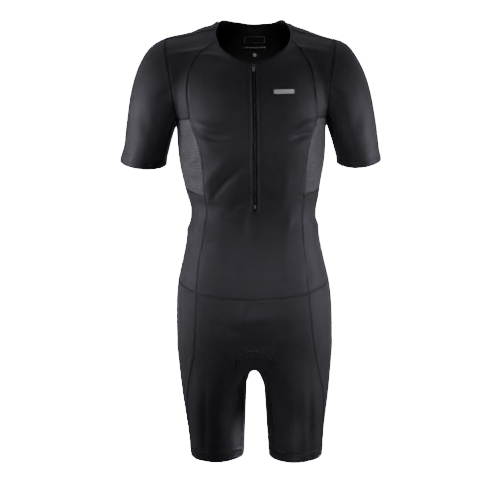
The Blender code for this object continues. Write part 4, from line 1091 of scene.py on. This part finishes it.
def flat_patch(name, width, height, corner, place):
    """A rounded rectangle of thin film; place(x, z) gives the point of the cloth under it."""
    outline = []
    for cx, cz, start in ((1, 1, 0), (-1, 1, 90), (-1, -1, 180), (1, -1, 270)):
        for step in range(7):
            a = math.radians(start + step * 15)
            outline.append((cx * (width / 2 - corner) + corner * math.cos(a),
                            cz * (height / 2 - corner) + corner * math.sin(a)))
    outline = [tuple(p) for p in resample([(x, z, 0) for x, z in outline + outline[:1]], 1.2 * MM)[:-1, :2]]
    points, rings, count = [], [], len(outline)
    for level, share in enumerate((1.0, 0.96, 0.8, 0.6, 0.4, 0.2)):
        points += [place(x * share, z * share) for x, z in outline]
        outer, inner = (level - 1) * count, level * count
        for i in range(count if level else 0):
            j = (i + 1) % count
            rings.append([outer + i, outer + j, inner + j, inner + i])
    points.append(place(0, 0))
    rings += [[inner + i, inner + (i + 1) % count, len(points) - 1] for i in range(count)]
    mesh = bpy.data.meshes.new(name)
    mesh.from_pydata([tuple(p) for p in points], [], rings)
    obj = new_object(name, mesh)
    film = obj.modifiers.new("film", "SOLIDIFY")
    film.thickness, film.offset = 0.2 * MM, 0
    bpy.ops.object.modifier_apply(modifier="film")
    face_outwards()
    return obj


def on_cloth(tree, across, drop, lift):
    """The rule that lays one patch on a cloth, which is met on a straight way towards the back."""
    start = -0.4 if tree is skin_tree else 0.0      # in front of the suit, or inside it

    def place(x, z):
        spot = Vector((across * MM + x, start, at_drop(drop) + z))
        return tree.ray_cast(spot, Vector((0, 1, 0)))[0] + Vector((0, -lift * MM, 0))
    return place


LABEL, DASHES, DOT = (10.5, 36), (10.5, 52), (10.3, 68)      # across and drop, millimetres
chest_bar = flat_patch("reflective_bar", 43 * MM, 9 * MM, 2 * MM, on_cloth(skin_tree, 68.6, 152.8, 0.15))
label = flat_patch("blank_label", 46 * MM, 14 * MM, 3 * MM, on_cloth(inner_tree, *LABEL, 0.3))
label_middle = flat_patch("label_middle", 44 * MM, 12 * MM, 2.2 * MM, on_cloth(inner_tree, *LABEL, 0.6))
dot = flat_patch("round_dot", 8.4 * MM, 8.4 * MM, 4.2 * MM, on_cloth(inner_tree, *DOT, 0.4))
eye = flat_patch("dot_middle", 3.0 * MM, 3.0 * MM, 1.5 * MM, on_cloth(inner_tree, *DOT, 0.8))
dashes_row = [flat_patch("label_dash", 3.2 * MM, 2.4 * MM, 0.5 * MM,
                         on_cloth(inner_tree, DASHES[0] + k * 5.6, DASHES[1], 0.4)) for k in range(-4, 5)]
select_only(*dashes_row)
bpy.ops.object.join()
dash_print = bpy.context.object
dash_print.name = "label_dashes"
print("marks:", chest_bar.name, label.name, dot.name)

# %% [markdown]
# ## The cloths
# The body is a matt knit of nylon and elastane. What the eye gets from it is a soft grey sheen where
# the cloth turns away, a fine upright rib, and a slow change of tone in soft clouds, which is a painted uneven
# sheen.
# Real columns of stitches are under half a millimetre apart, and the holes of such a net about one.
# Both are drawn about twice as wide, or they would be lost in a view of the whole suit.

# %% Patterns that all materials share


def between(tree, lead, low, high):
    """A value that goes from low to high as a pattern leads it."""
    links = {"Value": lead, "To Min": low, "To Max": high}
    return add_node(tree, "ShaderNodeMapRange", links).outputs["Result"]


def two_tones(tree, lead, dark, light):
    """A colour that goes from dark to light as a pattern leads it."""
    return add_node(tree, "ShaderNodeMix", {"Factor": lead, "A": linear(dark), "B": linear(light)},
                    data_type="RGBA").outputs["Result"]


def times(tree, colour, factor):
    links = {0: colour, 1: factor}
    return add_node(tree, "ShaderNodeVectorMath", links, operation="MULTIPLY").outputs["Vector"]


def lead_in(tree, shader, colour, rough, height, bump, depth):
    """Leads colour, roughness and a relief, with its depth in millimetres, into the shader."""
    tree.links.new(colour, shader.inputs["Base Color"])
    tree.links.new(rough, shader.inputs["Roughness"])
    relief = add_node(tree, "ShaderNodeBump", {"Height": height, "Strength": bump, "Distance": depth * MM})
    tree.links.new(relief.outputs["Normal"], shader.inputs["Normal"])


# %% Knit materials


def knit(name, dark, light, wale, rough, sheen, bump, ripple=0.0):
    """A fine rib knit: stitches in columns, soft clouds in roughness, the same clouds in tone as a painted
    uneven sheen, and a cloth sheen.
    """
    across, along = 0.314 / (wale * MM), 0.314 / (wale * 0.8 * MM)      # one wave a stitch, both ways
    material, tree, shader = new_material(name, dark, rough, Sheen_Weight=sheen, Sheen_Roughness=0.45,
                                          Sheen_Tint=linear("#e8e2fa"), Specular_IOR_Level=0.4,
                                          Specular_Tint=linear("#ece5fd"))
    cut_place = add_node(tree, "ShaderNodeUVMap", uv_map="cut")
    spot = add_node(tree, "ShaderNodeTexCoord")
    columns = add_node(tree, "ShaderNodeTexWave", {"Vector": cut_place.outputs["UV"], "Scale": across,
                                                   "Distortion": 0.6, "Detail": 1.0},
                       wave_type="BANDS", bands_direction="X", wave_profile="SIN")
    courses = add_node(tree, "ShaderNodeTexWave", {"Vector": cut_place.outputs["UV"], "Scale": along,
                                                   "Distortion": 0.6},
                       wave_type="BANDS", bands_direction="Y", wave_profile="SIN")
    stitch = add_node(tree, "ShaderNodeMath", {0: columns.outputs["Fac"], 1: courses.outputs["Fac"]},
                      operation="MULTIPLY").outputs["Value"]
    # soft clouds that vary the roughness, and the tone as a painted uneven sheen
    painted_sheen_and_roughness_cloud = add_node(tree, "ShaderNodeTexNoise", {"Vector": spot.outputs["Object"], "Scale": 26.0,
                                                  "Detail": 3.0, "Roughness": 0.55}).outputs["Fac"]
    colour = times(tree, two_tones(tree, painted_sheen_and_roughness_cloud, dark, light), between(tree, stitch, 0.82, 1.12))
    if ripple:                             # pale wavy arcs in the net's tone, partly its own moiré and partly painted highlights of its small wrinkles
        # painted highlight: pale distorted rings laid over the net's colour
        rings = add_node(tree, "ShaderNodeTexWave", {"Vector": spot.outputs["Object"], "Scale": 55.0,
                                                     "Distortion": 14.0, "Detail": 2.0, "Detail Scale": 0.8},
                         wave_type="RINGS", rings_direction="SPHERICAL", wave_profile="SIN")
        colour = times(tree, colour, between(tree, rings.outputs["Fac"], 1 - ripple, 1 + ripple))
    lead_in(tree, shader, colour, between(tree, painted_sheen_and_roughness_cloud, rough - 0.06, rough + 0.08), stitch, bump, 0.12)
    return material


# the body: near black and matt, and grey only where it turns away
body_knit = knit("knitted_nylon_elastane", "#212023", "#2b2a2e", 0.8, 0.56, 0.30, 0.5)
# the sleeves: a wider rib, which catches the light in fine upright lines
sleeve_knit = knit("ribbed_nylon_elastane", "#232225", "#2d2c30", 1.1, 0.52, 0.34, 0.6)
# the net: open and greyer than the cloth around it
net_knit = knit("open_net_knit", "#47464a", "#5c5b5f", 2.2, 0.60, 0.30, 0.9, ripple=0.15)
# the inside: brushed, so it takes the light in without a sheen and the openings look deep
inner_knit = knit("brushed_inside_of_knit", "#1c1c1d", "#242425", 0.9, 0.75, 0.1, 0.4)
# the neck edge and the leg bands: closer knits that set the ends off as a fine even line
binding_knit = knit("binding_elastic", "#1c1c20", "#26262a", 0.7, 0.60, 0.25, 0.5)
band_knit = knit("gripper_elastic_band", "#202024", "#2a2a2e", 0.9, 0.58, 0.28, 0.5)

# %% Threads, tape, coil, metal, foam and film


def grained(name, dark, light, size, rough, bump, **constants):
    """A close material with a fine grain of that size in millimetres."""
    material, tree, shader = new_material(name, dark, rough, **constants)
    spot = add_node(tree, "ShaderNodeTexCoord")
    grain = add_node(tree, "ShaderNodeTexNoise", {"Vector": spot.outputs["Object"], "Scale": 1 / (size * MM),
                                                  "Detail": 3.0}).outputs["Fac"]
    lead_in(tree, shader, two_tones(tree, grain, dark, light), between(tree, grain, rough - 0.08, rough + 0.08),
            grain, bump, 0.1)
    return material


# threads: black ones draw each seam as a fine dark line, pale ones show on the leg bands
thread = grained("polyester_sewing_thread", "#0e0e11", "#17171a", 0.5, 0.6, 0.3, Sheen_Weight=0.1)
black_thread = grained("bar_tack_thread", "#060607", "#0c0c0e", 0.5, 0.7, 0.3)
pale_thread = grained("light_sewing_thread", "#5a5a61", "#6a6a71", 0.5, 0.6, 0.3, Sheen_Weight=0.1)
# the zip: the darkest cloth of the suit behind a coil of grey nylon with a small gleam on each bar
tape_weave = grained("woven_polyester_tape", "#0c0c0f", "#151519", 0.6, 0.8, 0.5)
coil_nylon = grained("nylon_coil", "#5c5c62", "#6c6c72", 1.5, 0.4, 0.1)
# the slider has a soft black gloss, the pull tab and the stop are the only bright metal
painted_metal = grained("black_painted_zinc", "#161618", "#222225", 2.0, 0.36, 0.1, Metallic=0.3)
bare_metal = grained("brushed_zinc", "#8c8c92", "#aaaab0", 2.0, 0.34, 0.1, Metallic=0.7)
# the pad: soft and quite matt
foam = grained("padded_microfibre", "#2c2c31", "#3a3a40", 1.2, 0.8, 0.4, Sheen_Weight=0.3)
# marks: flat pale films, which lie on the black cloth like print
film = grained("reflective_film", "#b4b4ba", "#cfcfd4", 0.8, 0.4, 0.2)
label_print = grained("heat_transfer_label", "#7c7c80", "#8a8a8e", 1.0, 0.6, 0.2)
label_ground = grained("black_transfer_print", "#1e1e1f", "#262627", 1.0, 0.7, 0.2)
dash_ink = grained("pale_transfer_print", "#b0b0b4", "#c0c0c4", 1.0, 0.6, 0.2)
dot_print = grained("white_transfer_print", "#e4e4e8", "#f4f4f6", 1.0, 0.5, 0.1)
print("materials:", len(bpy.data.materials))

# %% [markdown]
# ## Dressing the frame
# Every piece takes its material and rides on its CAD body, and the CAD node it stands in for is hidden.
# The flat cut of each cloth piece is looked up again, the neck binding's as a straight strip, but it is not
# passed on.

SLOTS = {"mesh": ("mesh_net", net_knit), "sleeve": ("sleeve_knit", sleeve_knit),
         "neck": ("binding", binding_knit), "hem": ("gripper_band", band_knit)}
for name, piece in sorted(cloth.items()):
    slot_name, material = SLOTS.get(name.split("_")[0], ("body_knit", body_knit))
    piece.data.materials[0], piece.data.materials[1] = material, inner_knit
    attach(piece, "suit")
    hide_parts(name)
    width, length, area = FLAT[name]
    if name == "neck_binding":             # a straight strip, folded over the edge of the neck
        width, length, area = max(width, length), 10 * MM, max(width, length) * 8.8 * MM
    min(area, width * length)
for name, tape in tapes.items():
    tape.data.materials.append(tape_weave)
    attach(tape, "suit")
    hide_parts(name)
for node, part in metal.items():
    part.data.materials.append(painted_metal if node == "zip_slider" else bare_metal)
    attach(part, "pull_tab" if node == "zip_pull_tab" else "suit")
    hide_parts(node)
pad.data.materials.append(foam)
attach(pad, "suit")
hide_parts("seat_pad")
DETAILS = [
    (seam_threads, thread), (band_threads, pale_thread), (hem_threads, thread), (welt_threads, thread),
    (tape_threads, thread), (bar_tack, black_thread),
    (coils["zip_coil_left"], coil_nylon), (coils["zip_coil_right"], coil_nylon),
    (chest_bar, film), (label, label_print), (label_middle, label_ground), (dash_print, dash_ink),
    (dot, dot_print), (eye, label_print), (pad_threads, pale_thread),
]
for obj, material in DETAILS:
    obj.data.materials.clear()
    obj.data.materials.append(material)
    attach(obj, "suit")

# %% Update the scene
bpy.context.view_layer.update()
